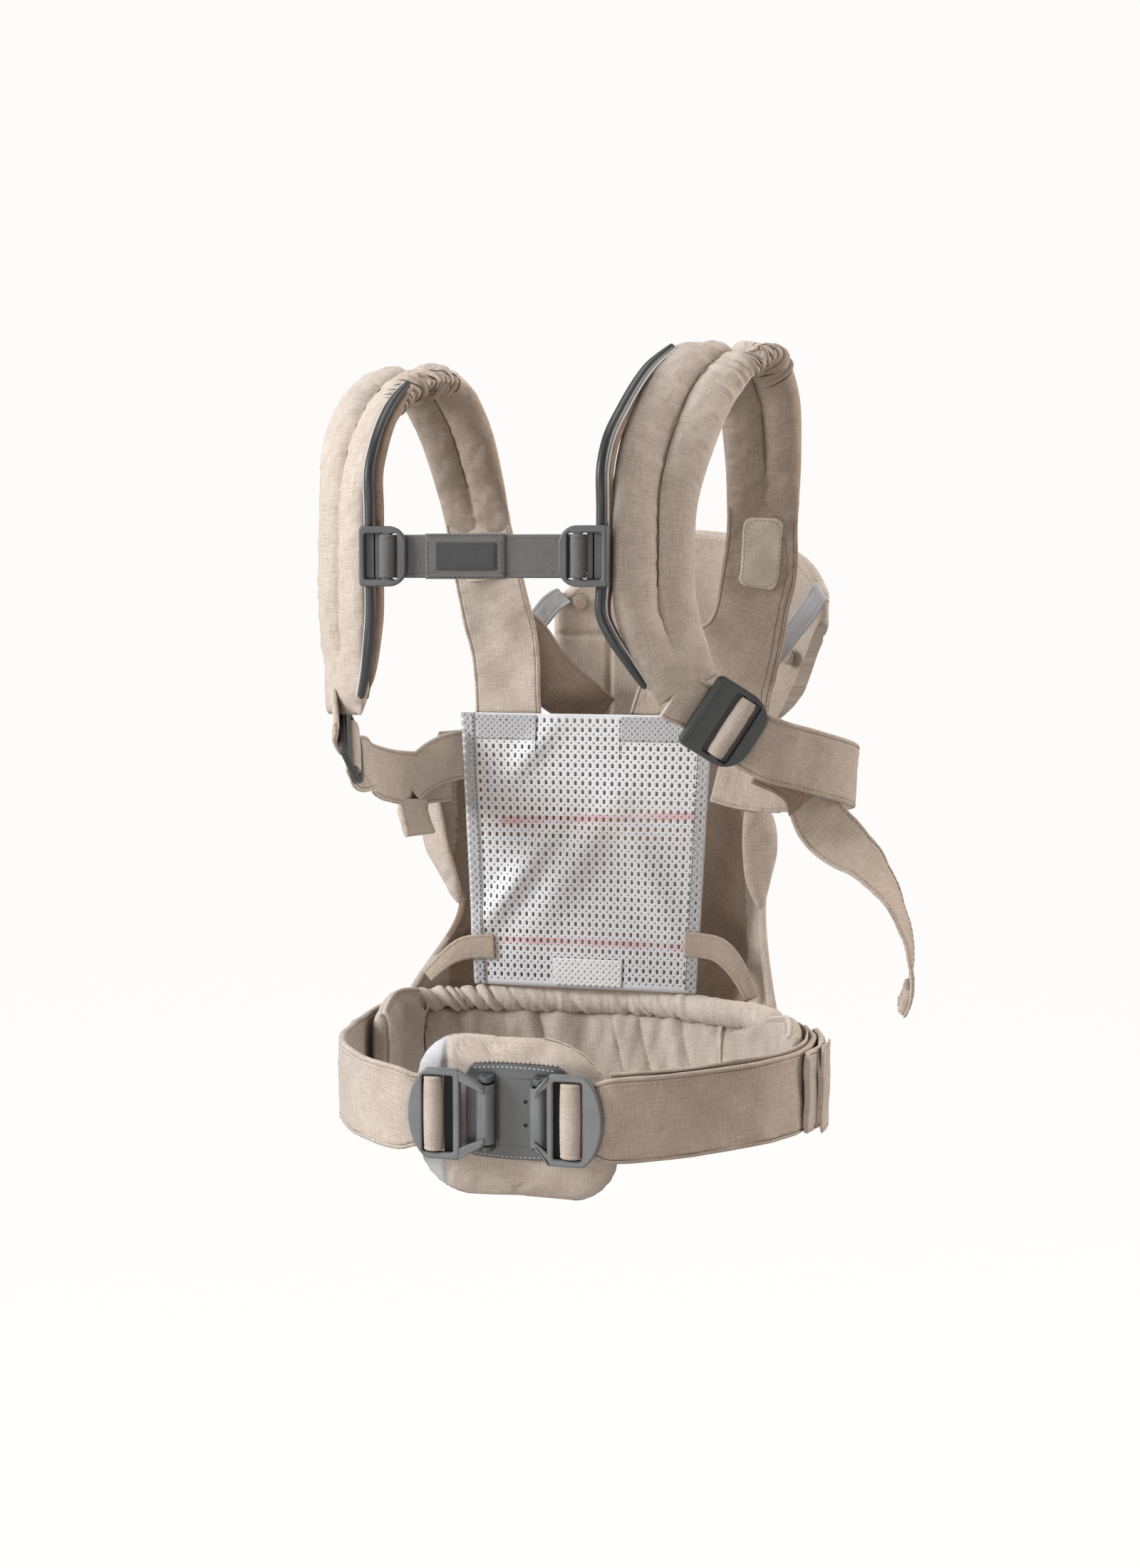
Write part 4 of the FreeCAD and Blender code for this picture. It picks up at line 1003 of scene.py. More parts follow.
def make_lumbar_pad():
    """The small pad under the buckle and its grey side panel, swollen by the cloth simulation."""
    width, height = 126 * MM, 99 * MM
    centre = np.array([3 * MM, -100 * MM, -5.5 * MM])
    seam = -40 * MM
    z = height / 2 * bunched(90)
    left, right = lumbar_reach(z, -1, width, height), lumbar_reach(z, 1, width, height)
    rim_z = height / 2 * bunched(160)
    rim = np.concatenate(
        [
            np.stack([centre[0] + sign * lumbar_reach(rim_z, sign, width, height), rim_z], 1)
            for sign in (-1, 1)]
        + [
            np.stack([np.linspace(-20 * MM, 20 * MM, 60), np.full(60, end * height / 2)], 1)
            for end in (-1, 1)])
    edge = bunched(120)
    for name, low, high, material, slot_name in (
            ("lumbar_pad", seam, 1.0, BEIGE, "beige_fabric"),
            ("lumbar_pad_side", -1.0, seam, TRIM, "grey_trim")):
        start = np.maximum(centre[0] - left, low)[:, None]
        stop = np.minimum(centre[0] + right, high)[:, None]
        keep = (stop - start)[:, 0] > 0.5 * MM
        x = (start + (stop - start) * (edge[None, :] + 1) / 2)[keep]
        rows_z = z[keep]
        grid = np.stack(np.broadcast_arrays(x, centre[1], rows_z[:, None] + centre[2]), -1)
        depth = np.full(x.shape, 1.0)
        for rim_x, rim_height in rim:
            depth = np.minimum(depth, np.hypot(x - rim_x, rows_z[:, None] - rim_height))
        ends = np.minimum(height / 2 - np.abs(rows_z)[:, None], depth)
        depth = np.maximum(np.minimum(depth, ends), 0)
        dome = rounding(depth, 13 * MM) * (0.86 + 0.14 * np.clip(depth / (40 * MM), 0, 1))
        crease = 1 - 0.35 * bell(x - seam, 2.2 * MM)
        relief = 0.3 * MM * ripple(grid, 24 * MM, 51) * dome
        body = 8 * MM * dome * crease
        surface = Surface(grid, np.broadcast_to(FRONT, grid.shape))
        made, _, _ = quilt(
            name, surface, np.maximum(body + relief, 0), np.maximum(body - relief, 0), material)
        settle(made, 9.0, 1.3 * MM, lambda p: np.abs(p[:, 0] - seam) < 1.2 * MM)
        put(made, "carrier", (name,))


# ---------------------------------------------------------------- shoulder straps
OUTWARD = 42.0


def outward(side, tilt=OUTWARD, lift=0.0):
    """Width direction of a strap that turns away from the middle by tilt degrees."""
    angle = math.radians(tilt)
    return (SIGN[side] * math.cos(angle), math.sin(angle), lift)


RIGHT_PAD = [
    ((104, -92, 252), outward("right", 20, 0.35), 38),
    ((95.5, -99.0, 272.0), outward("right", 34, 0.15), 48.0),
    ((87, -101, 300), outward("right"), 54),
    ((85.5, -101.0, 335.0), outward("right"), 54.0),
    ((86.0, -97.5, 368.0), outward("right", 38), 54.0),
    ((91, -80, 402), outward("right", 30), 54),
    ((99, -52, 432), outward("right", 24, -0.05), 54),
    ((109, -22, 449), outward("right", 16, -0.06), 54),
    ((117, 8, 451), outward("right", 10), 54),
    ((123, 36, 430), outward("right", 10), 52),
    ((123, 60, 395), outward("right", 14), 49),
    ((120, 79, 352), outward("right", 14), 46)]
LEFT_PAD = [
    ((-106.5, -96.0, 235.0), (-0.55, 0.45, 0.62), 33.0),
    ((-106, -95, 245), (-0.66, 0.48, 0.35), 39),
    ((-104, -98, 265), outward("left", 40), 48),
    ((-104, -101, 298), outward("left"), 54),
    ((-104.0, -100.5, 335.0), outward("left"), 54.0),
    ((-104, -96, 368), outward("left"), 54),
    ((-103, -78, 402), outward("left", 36, 0.1), 54),
    ((-99, -50, 427), outward("left", 30, 0.1), 54),
    ((-91, -22, 440), outward("left", 20, 0.05), 54),
    ((-84, 6, 438), outward("left", 8), 54),
    ((-78, 32, 418), outward("left", 4), 52),
    ((-74, 56, 385), outward("left", 4), 49),
    ((-71, 76, 346), outward("left", 4), 46)]
RAIL_X = {"left": -79.0, "right": 60.0}
RAIL_Y = -125.0


def rail_route(side):
    """Points of the rail along a strap's inner edge, in mm; straight where the lock slides."""
    x = RAIL_X[side]
    if side == "right":
        lower = [(82, -107.5, 254), (73, -117, 270), (64, -123.5, 286)]
        upper = [(61, -119, 393), (66, -97, 416), (74, -67, 440), (83, -36, 456)]
    else:
        lower = [(-90, -112, 246), (-84, -119.8, 264), (-80.3, -124.5, 282)]
        upper = [(-78.5, -118, 393), (-78, -94, 416), (-76.5, -79, 426.5), (-74.5, -65, 434.5)]
    straight = [(x, RAIL_Y, z) for z in (295, 316, 337, 358, 380)]
    return lower + straight + upper


def make_shoulder_pad(side, stations):
    """A padded strap of two sewn channels, gathered where it turns over the shoulder."""
    width_shares = 0.5 * bunched(56) * 0.6 + 0.4 * np.linspace(-0.5, 0.5, 56)
    flip = -1.0 if side == "right" else 1.0
    surface, offsets = strap_surface(stations, 210, width_shares, flip)
    total = surface.v[-1]
    along = np.repeat(surface.v[:, None], offsets.shape[1], 1)
    wide = offsets[:, -1:] * 2
    share = offsets / wide
    seam = 0.02
    front = lobes(share, [-0.5, seam, 0.5], [0.05, 0.08, 0.0], 2.2)
    back = lobes(share, [-0.5, seam, 0.5], [0.05, 0.20, 0.0], 2.2)
    # The channels merge towards the lower end, where the strap narrows into its tab.
    merge = np.clip((along - 20 * MM) / (26 * MM), 0, 1)
    single = lobes(share, [-0.5, 0.5], [0.05, 0.0], 2.2)
    front = single + (front - single) * merge
    back = single + (back - single) * merge
    thin = np.clip((total - surface.v) / (52 * MM), 0, 1)[:, None]
    ends = (0.24 + 0.76 * rounding(surface.v, 16 * MM)[:, None]) * (0.10 + 0.90 * thin ** 0.75)
    tip = np.clip(surface.from_ends() / (1.2 * MM), 0, 1) ** 0.5
    seam_pucker = gathers(along, 9 * MM, 61) * bell(share - seam, 0.09) * 0.5
    edge_pucker = (
        gathers(along + 0.3 * offsets, 7.5 * MM, 62)
        * (bell(share - 0.40, 0.09) + bell(share + 0.40, 0.09)) * 0.26)
    # Gathers on the inside of the bend over the shoulder.
    top = total * (0.62 if side == "left" else 0.60)
    bend = bell(along - top, 26 * MM)
    pleats = gathers(along + 0.18 * offsets, 11 * MM, 63)
    folds = (pleats - 1.2 * (1 - np.abs(pleats) ** 0.5)) * bend
    relief = (
        (0.30 * ripple(surface.points, 22 * MM, 64) + 0.14 * ripple(surface.points, 9 * MM, 65)) * MM)
    relief = relief + (seam_pucker + edge_pucker) * MM
    half = 7.5 * MM * ends * tip
    gate = np.clip(front * 2.2, 0, 1)
    inner_side = np.clip(0.5 - share, 0, 1) if side == "left" else np.clip(share + 0.5, 0, 1)
    up = half * front + (relief + folds * inner_side * 3.4 * MM) * gate * tip
    down = half * back + (relief + folds * 3.0 * MM) * np.clip(back * 2.2, 0, 1) * tip
    name = "shoulder_pad_" + side
    # The back faces get the darker beige: painted shade.
    made, outer, inner = quilt(
        name, surface, np.maximum(up, 0), np.maximum(down, 0), BEIGE, 75.0, SHADED_BEIGE)
    put(made, "carrier", (name,))
    # A thin dark tube in the groove between the channels: painted shade along the seam.
    for face, label in ((outer, "outer"), (inner, "inner")):
        last = 209 if label == "outer" else 192
        reach = [(seam * face.u[row, -1] * 2, face.v[row]) for row in range(34, last)]
        line = [face.at(u, v, -0.25 * MM)[0] for u, v in reach]
        thread = tube_between("pad_seam_shade_" + label + "_" + side, line, 0.42 * MM, SEAM_SHADE, 6, up=(1, 0, 0))
        put(thread, "carrier", ())
    return outer, inner


def make_gathers(side, outer, under):
    """Pleats wrapped round the strap's edge where it turns over the shoulder and is drawn in."""
    draw = np.random.default_rng(66)
    edge, near, far = (-1.0, -66 * MM, -6 * MM) if side == "left" else (1.0, -30 * MM, 18 * MM)
    middle = under.points[:, under.points.shape[1] // 2]
    rows = np.nonzero((middle[:, 1] > near) & (middle[:, 1] < far) & (middle[:, 2] > 380 * MM))[0]
    count = 9
    shares = np.concatenate([np.linspace(0.50, 0.98, 9), np.linspace(0.98, 0.25, 15)])
    pieces = []
    for number in range(count):
        row = rows[0] + (rows[-1] - rows[0]) * (number + draw.uniform(0.2, 0.8)) / count
        slant = draw.uniform(2.0, 7.0)
        bend = draw.uniform(-2.0, 2.0)
        # Pleats in the darker beige, each with a thin dark crease tube: painted shade in the folds.
        pleat = ("pleat", 0.0, -0.5, draw.uniform(1.9, 2.7), SHADED_BEIGE)
        crease = (
            "crease", 0.5 * (rows[-1] - rows[0]) / count, 0.25, 0.6 if side == "left" else 0.4, SEAM_SHADE)
        for label, shift, lift, radius, material in (pleat, crease):
            path = []
            for step, share in enumerate(shares):
                face = outer if step < 9 else under
                way = step / len(shares)
                at_row = row + shift + slant * way + bend * math.sin(math.pi * way)
                v = np.interp(at_row, np.arange(len(face.v)), face.v)
                u = edge * share * face.u[int(at_row), -1]
                path.append(face.at(u, v, lift * MM)[0])
            along = np.linspace(0, 1, 40)
            fade = 0.12 + 0.88 * np.sin(np.pi * along) ** 0.7
            pieces.append(tube_between(
                label, path, radius * MM * fade, material, 10, (1.0, 0.85), up=(1, 0, 0), rows=40))
    put(join("strap_gathers_" + side, pieces), "carrier")


def make_rail(side):
    """The dark rail, the light edge of the tape that holds it, and the lining behind."""
    route = np.array(rail_route(side)) * MM
    sign = SIGN[side]
    share = np.linspace(0, 1, 150)
    swell = 0.55 + 0.45 * np.clip(np.minimum(share, 1 - share) / 0.14, 0, 1) ** 0.6
    rail = tube_between(
        "strap_rail_" + side, smooth(route, 150), 3.3 * MM * swell, RAIL, 16, (1.0, 0.95), up=(1, 0, 0))
    put(rail, "carrier", ("strap_rail_" + side,))
    # The tape that sews the rail on: a narrow light edge beside it, and the lining behind.
    beside = smooth(route, 150) + np.array([sign * 3.3, 1.2, 0.0]) * MM
    piping = tube_between("strap_piping_" + side, beside, 0.95 * MM, TRIM, 8, up=(1, 0, 0))
    put(piping, "carrier", ("strap_piping_" + side,))
    line = smooth(route, 150)
    inward = np.array([-sign * 0.2, 9.7, -1.0]) * MM
    centre = line + inward
    taper = np.sin(np.pi * np.clip(np.linspace(-0.04, 1.04, 150), 0, 1)) ** 0.35
    # The lining behind is in the darker lining colour: painted shade on a wall turned from the light.
    lining = tube_between(
        "strap_lining_" + side, centre, 5.1 * MM * np.maximum(taper, 0.2), SHADE_LINING, 18, (0.85, 1.0),
        up=(1, 0, 0))
    put(lining, "carrier", ())


def make_front_straps():
    """The flat straps from the shoulders down to the panel, each with a stitched patch."""
    right = [
        ((121.2, 73.5, 366.0), outward("right", 14), 47.0),
        ((119.6, 80.4, 349.0), outward("right", 14), 46.5),
        ((115.5, 92.0, 316.0), outward("right", 10), 50.0),
        ((112, 96.5, 302), (1, 0, 0), 49),
        ((109, 99.5, 289), (1, 0, 0), 50),
        ((105, 101.8, 277), (1, 0, 0), 54),
        ((98.5, 103.5, 265), (1, 0, 0), 64),
        ((89.5, 104.5, 252), (1, 0, 0), 78),
        ((79.5, 105.2, 236), (1, 0, 0), 92),
        ((73, 105.5, 212), (1, 0, 0), 98)]
    left = [
        ((-71.9, 70.0, 360.0), outward("left", 4), 47.0),
        ((-70.7, 77.6, 343.0), outward("left", 4), 46.5),
        ((-68.5, 91, 312), (-1, 0.05, 0), 50),
        ((-65, 99, 288), (-1, 0, 0), 50),
        ((-61, 104, 262), (-1, 0, 0), 48),
        ((-60, 105, 236), (-1, 0, 0), 47),
        ((-60, 105, 212), (-1, 0, 0), 47)]
    patches = {"right": (26 * MM, 50 * MM, 0.036), "left": (34 * MM, 30 * MM, 0.034)}
    for side, stations, flat in (("right", right, (0.066, 0.150)), ("left", left, (0.048, 0.138))):
        flip = -1.0 if side == "left" else 1.0
        # The right strap is in the darker beige: painted shade from the shoulder pad above it.
        made, adult, baby = flat_strap(
            "strap_front_" + side, stations, 3.4, SHADED_BEIGE if side == "right" else BEIGE, 90, 0.9, 71,
            flip=flip)
        if adult.normals[40, 12][1] > 0:
            adult, baby = baby, adult
        put(made, "carrier", ("strap_front_" + side,))
        edge_stitches(SEWN, adult)
        reach = []
        for row in range(10, 88):
            v = adult.v[row]
            blend = min(1.0, v / (34 * MM))
            blend = blend * blend * (3 - 2 * blend)
            reach.append(adult.at(0.5 * MM + (adult.u[row, -1] - 9.5 * MM) * blend, v, 0.0)[0])
        # A thin tube in the darker lining colour down the right strap: a seam line with painted shade.
        if side == "right":
            seam = tube_between("strap_front_seam_right", reach, 0.36 * MM, SHADE_LINING, 6, up=(1, 0, 0))
            put(seam, "carrier", ())
        wide, high, along = patches[side]
        rows, columns = 26, 20
        grid, normals = np.zeros((2, rows, columns, 3))
        for i, b in enumerate(0.5 * bunched(rows)):
            reach = half_width(b * high, wide, high, 6 * MM)
            for j, a in enumerate(bunched(columns)):
                grid[i, j], normals[i, j] = adult.at(a * reach, along + b * high, 0.35 * MM)
        patch_surface = Surface(grid, normals)
        near = np.minimum(np.arange(rows), rows - 1 - np.arange(rows))[:, None]
        near = np.minimum(
            near, np.minimum(np.arange(columns), columns - 1 - np.arange(columns))[None, :])
        raise_by = 1.0 * MM * np.clip(near / 2.0, 0, 1) ** 0.5
        patch, patch_top, _ = quilt(
            "strap_patch_" + side, patch_surface, raise_by, raise_by * 0.2, PATCH)
        put(patch, "carrier", ("strap_patch_" + side,))
        u, v = wide / 2 - 1.6 * MM, high / 2 - 1.6 * MM
        middle = patch_top.v[-1] / 2
        corner = 5 * MM
        line = [(x, middle + y) for x, y in (
            (corner - u, -v), (u - corner, -v), (u, corner - v), (u, v - corner), (u - corner, v),
            (corner - u, v), (-u, v - corner), (-u, corner - v), (corner - u, -v))]
        stitch(SEWN, *line_on(patch_top, line), length=2.0, gap=1.0)


# ---------------------------------------------------------------- chest strap
CHEST_Z = 330.0


def block(name, low, high, material, bevel=0.5):
    """A moulded bar between two corners in mm, with rounded edges."""
    width, height = (high[0] - low[0]) * MM, (high[2] - low[2]) * MM
    outline = rounded(-width / 2, width / 2, -height / 2, height / 2, [min(0.8 * MM, width / 3)] * 4, 3)
    made = plate(name, outline, [], (high[1] - low[1]) * MM, material, bevel * MM)
    centre = [(a + b) / 2 * MM for a, b in zip(low, high)]
    return turn(made, centre, *STANDING)


def circle(radius, count):
    """A circle's outline; the radius in mm."""
    return [
        (radius * MM * math.cos(a), radius * MM * math.sin(a))
        for a in np.linspace(0, TAU, count + 1)[:-1]]


def join(name, pieces):
    """One object made of several, under a new name."""
    bpy.ops.object.select_all(action="DESELECT")
    for piece in pieces:
        piece.select_set(True)
    bpy.context.view_layer.objects.active = pieces[0]
    bpy.ops.object.join()
    pieces[0].name = name
    pieces[0].data.name = name
    return pieces[0]


def make_lock(side):
    """A ladder lock: a D-shaped plate with a wide and a narrow window, and jaws round the rail."""
    sign = SIGN[side]
    x = RAIL_X[side]
    outside, tip = x + sign * 4.8, x - sign * 24.0
    half = 17.5 * MM
    reach = abs(tip - outside) * MM
    ring = rounded(0, reach, -half, half, [11 * MM, 2.2 * MM, 2.2 * MM, 11 * MM], 10)
    outer_window = rounded(3.4 * MM, 15.3 * MM, -13.2 * MM, 13.2 * MM, [1.2 * MM] * 4, 3)
    inner_window = rounded(19.6 * MM, 23.4 * MM, -13.2 * MM, 13.2 * MM, [1.2 * MM] * 4, 3)
    face = plate("face", ring, [outer_window, inner_window], 4.0 * MM, SLATE, 1.1 * MM)
    turn(
        face, (outside * MM, -130.0 * MM, CHEST_Z * MM), (-sign, 0, 0), (0, 0, 1),
        (0, -sign, 0) if sign > 0 else (0, -1, 0))
    low, high = CHEST_Z - 17.2, CHEST_Z + 17.2
    pieces = [face]
    for a, b in ((-4.7, -3.05), (3.05, 4.7)):
        pieces.append(block("jaw", (x + a, -128.6, low), (x + b, -120.6, high), SLATE, 0.4))
    for a, b in ((-4.7, -2.1), (2.1, 4.7)):
        pieces.append(block("lip", (x + a, -121.9, low), (x + b, -120.5, high), SLATE, 0.3))
    behind = sorted((outside - sign * 3.0, outside - sign * 12.6))
    pieces.append(block(
        "web", (behind[0], -128.6, CHEST_Z - 14), (behind[1], -127.9, CHEST_Z + 14), SLATE, 0.2))
    lock = join("ladder_lock_" + side, pieces)
    put(lock, "chest_strap", ("ladder_lock_" + side,))


def make_chest_strap():
    """Webbing round both locks, a second layer sewn on its middle and a blank patch."""
    make_lock("left")
    make_lock("right")
    # One length of webbing: round the bar of each lock, across the back between them.
    back = -126.8
    turn_round = [
        (36.5, -124.9), (46.5, -124.9), (56.5, -125.0), (59.9, -126.2), (61.1, -129.5), (60.1, -132.4),
        (57.9, -133.4), (55.5, -133.2), (53.6, -131.6), (53.1, -129.2), (51.0, -127.2), (45.5, back)]
    left_end, right_end = ([(round(sign * x - 9.5, 1), y) for x, y in turn_round] for sign in (-1, 1))
    route = left_end + [(x, back) for x in (-40, -20, 0, 20)] + right_end[::-1]
    stations = [((x, y, CHEST_Z), (0, 0, 1), 25) for x, y in route]
    made, _, _ = flat_strap("chest_webbing", stations, 1.7, WEBBING, 260, 0.12, 81)
    put(made, "chest_strap", ("chest_webbing",))
    stations = [((x, -128.6, CHEST_Z), (0, 0, 1), 26.2) for x in (-44, -30, -15, 0, 4)]
    overlap, one, other = flat_strap("chest_webbing_overlap", stations, 1.6, WEBBING, 60, 0.15, 82)
    put(overlap, "chest_strap", ("chest_webbing_overlap",))
    outer = front_of(one, other)
    key = ("chest_strap", "grey")
    edge_stitches(key, outer, 1.6, length=1.8, gap=1.0)
    for v in (1.8, 46.2):
        stitch(
            key, *line_on(outer, [(-11 * MM, v * MM), (11 * MM, v * MM)]), length=1.8, gap=1.0,
            width=0.7)
    stations = [((x, -129.85, CHEST_Z), (0, 0, 1), 16) for x in (-37.5, -25, -12, -1)]
    patch, one, other = flat_strap("chest_patch", stations, 0.9, LABEL_GREY, 40, 0.05, 83)
    put(patch, "chest_strap", ("chest_patch",))
    outer = front_of(one, other)
    u, v0, v1 = 6.6 * MM, 1.4 * MM, 35.1 * MM
    stitch(
        key, *line_on(outer, [(-u, v0), (u, v0), (u, v1), (-u, v1), (-u, v0)]), length=1.5, gap=0.9,
        width=0.5)


# ---------------------------------------------------------------- glides and side webbing
GLIDES = {
    "right": ((126.0, -86.0, 232.0), (0.74, 0.32, -0.5), (0.55, 0.1, 0.85)),
    "left": ((-107.0, -83.0, 216.0), (0.05, 0.62, -0.62), (-0.25, 0.62, 0.62)),
}


def glide_axes(side):
    """A glide's centre in mm, and its directions along the webbing, inwards and up."""
    centre, along, up = GLIDES[side]
    along = unit(np.array(along))
    up = np.array(up)
    up = unit(up - along * (up @ along))
    return np.array(centre), along, np.cross(up, along), up


def through_glide(side, width, route=((4, 4.6), (12, 4.3), (20, 4))):
    """Stations along a glide: route gives each one's distance along and behind it."""
    centre, along, depth, up = glide_axes(side)
    return [(tuple(centre + along * a + depth * b), tuple(up), width) for a, b in route]


def make_glides():
    """Each glide, the webbing's turn over its bar and the tab that holds it."""
    for side in SIDES:
        centre, along, depth, up = glide_axes(side)
        body = "glide_" + side
        ring = rounded(-20 * MM, 20 * MM, -23.5 * MM, 23.5 * MM, [15 * MM, 4 * MM, 4 * MM, 15 * MM], 12)
        slots = [rounded(a * MM, b * MM, -h * MM, h * MM, [1.2 * MM] * 4, 4) for a, b, h in (
            (-4.6, 1.0, 19.6), (6.0, 12.0, 19.6))]
        glide = plate("face", ring, slots, 4 * MM, GLIDE, 1.2 * MM)
        turn(glide, centre * MM, along, up, -depth)
        # A raised lip on the side where the tab goes in, and a thin floor behind the slots.
        edge = rounded(-19.0 * MM, -15.6 * MM, -21 * MM, 21 * MM, [1.4 * MM] * 4, 5)
        lip = plate("lip", edge, [], 1.6 * MM, GLIDE, 0.6 * MM)
        turn(lip, (centre - depth * 2.3) * MM, along, up, -depth)
        base = rounded(-5.2 * MM, 12.6 * MM, -20 * MM, 20 * MM, [1.5 * MM] * 4, 4)
        floor = plate("floor", base, [], 0.9 * MM, GLIDE, 0.3 * MM)
        turn(floor, (centre + depth * 1.3) * MM, along, up, -depth)
        put(join(body, [glide, lip, floor]), body, (body,))
        spots = np.linspace(-19, 19, 15)
        spine = [(centre + along * 3.5 + up * s) * MM for s in spots]
        bulge = np.array(
            [0.86, 0.97, 1.0, 0.98, 1.0, 1.02, 1.03, 1.03, 1.03, 1.02, 1.0, 0.98, 1.0, 0.97, 0.86])
        loop = tube_between(
            "glide_loop_" + side, spine, 5.7 * MM * bulge, BEIGE, 28, (1.0, 0.80), up=depth, ends=False)
        put(loop, body, ("glide_loop_" + side,))
        stations = through_glide(side, 33.0, [(-37.0, -1.2), (-31.0, -0.4)]) + through_glide(
            side, 31, [(-26, 1.4), (-21, 3.6), (-14, 4.1), (-8, 4)])
        sewn, bar = (tuple((centre + along * reach) * MM) for reach in (-33.0, -17.0))
        sewn_strap(
            "strap_tab_" + side, ("carrier", body, sewn, bar), stations, 3.2, BEIGE, 90, 0.25, 91)


def make_side_webbing():
    """Webbing from the glides round the sides, its spare ends and the panel's tabs."""
    start = through_glide("right", 37.0)
    right = start + [
        ((150, -73, 217), (0.5, 0.15, 0.85), 38),
        ((168, -55, 210), (0.35, 0.15, 0.9), 38),
        ((185, -28, 202), (0.2, 0.1, 0.95), 38),
        ((191, 0, 196), (0.1, 0.05, 1), 38),
        ((183, 34, 190), (-0.05, 0, 1), 38),
        ((160, 66, 184), (-0.1, 0, 1), 38),
        ((130, 88, 181), (0, 0, 1), 38)]
    place = ("glide_right", "carrier", (0.140, -0.080, 0.222), (0.160, -0.062, 0.213))
    # The right webbing is in the darker side beige: painted shade.
    sewn_strap("side_webbing_right", place, right, 2.3, SHADED_SIDE_BEIGE, 150, 0.35, 101)
    start = through_glide("left", 35.0)
    left = start + [
        ((-107, -58, 202), (-0.25, 0.55, 0.68), 36),
        ((-109, -36, 196), (-0.2, 0.3, 0.9), 36),
        ((-111, -5, 190), (-0.15, 0.1, 1), 36),
        ((-110.5, 35, 184), (-0.05, 0, 1), 36),
        ((-104, 78, 181), (0, 0, 1), 36),
        ((-97, 94, 181), (0, 0, 1), 36)]
    place = ("glide_left", "carrier", (-0.106, -0.070, 0.204), (-0.108, -0.050, 0.194))
    sewn_strap("side_webbing_left", place, left, 2.3, BEIGE, 130, 0.35, 102)

    back = [
        ((146, -68, 213), (0.5, 0.15, 0.85), 37),
        ((159, -53, 205), (0.4, 0.15, 0.9), 37),
        ((166, -40, 196), (0.45, 0.2, 0.85), 37),
        ((169, -31, 184), (0.6, 0.35, 0.7), 37)]
    # The turned-back webbing is in the darker lining colour: painted shade of the fold.
    sewn_strap("webbing_return_right", "carrier", back, 2.3, SHADE_LINING, 60, 0.3, 103)
    tail = [
        ((169, -32, 186), (0.6, 0.35, 0.7), 36),
        ((174.5, -26.0, 170.0), (0.62, 0.5, 0.6), 37.0),
        ((187, -25, 157), (0.5, 0.68, 0.52), 38),
        ((203.5, -28.0, 144.0), (0.3, 0.88, 0.32), 38.0),
        ((218, -31, 125), (0.12, 0.96, 0.14), 38),
        ((227.5, -34, 103), (-0.02, 1, 0.02), 38),
        ((231, -36, 80), (-0.08, 1, 0), 38),
        ((229.5, -36, 63), (-0.08, 1, 0), 38),
        ((227, -36, 57.5), (-0.08, 1, 0), 38)]
    place = ("carrier", "tail_right", (0.168, -0.031, 0.184), (0.180, -0.025, 0.160))
    # The tail is in the darker side beige: painted shade.
    made = sewn_strap("webbing_tail_right", place, tail, 2.3, SHADED_SIDE_BEIGE, 150, 0.5, 104)
    # The end is folded over twice and sewn, so the webbing can't slip out of the glide.
    hem = [
        ((229.8, -36, 74), (-0.08, 1, 0), 37), ((228.2, -36, 67), (-0.1, 1, 0), 37),
        ((225, -36, 59.5), (-0.12, 1, 0), 37)]
    # Painted shade: the hem too is in the darker side beige.
    made, _, _ = flat_strap("webbing_tail_right_hem", hem, 5.2, SHADED_SIDE_BEIGE, 40, 0.2, 105)
    put(made, "tail_right")
    short = [
        ((-107, 37, 170), (0.3, 1, -0.1), 32),
        ((-106, 36, 162), (0.3, 1, -0.1), 32),
        ((-103.5, 35, 153), (0.35, 1, -0.15), 32),
        ((-101, 34, 146), (0.4, 1, -0.2), 32)]
    made, _, _ = flat_strap("webbing_tail_left", short, 4.2, BEIGE, 60, 0.4, 106)
    put(made, "carrier", ("webbing_tail_left",))
    tabs = {
        "left": ([((-90, 97, 195), (0, 0, 1), 34), ((-95.5, 86, 194), (0, 0, 1), 34),
                  ((-102, 68, 191), (-0.08, 0.05, 1), 32), ((-107.5, 50, 184), (-0.22, 0.1, 1), 28),
                  ((-110, 38, 177), (-0.4, 0.2, 0.9), 23)]),
        "right": ([((88, 98, 188), (0, 0, 1), 44), ((104, 97, 184), (0, 0, 1), 44),
                   ((121, 91.6, 182), (0, 0, 1), 42), ((133.5, 87.8, 181), (0, 0, 1), 40)]),
    }
    for side, stations in tabs.items():
        sewn_strap("panel_tab_" + side, "carrier", stations, 2.4, BEIGE, 60, 0.4, 107)


# ---------------------------------------------------------------- mesh panel
MESH_LOW, MESH_HIGH = 34.8 * MM, 224.0 * MM


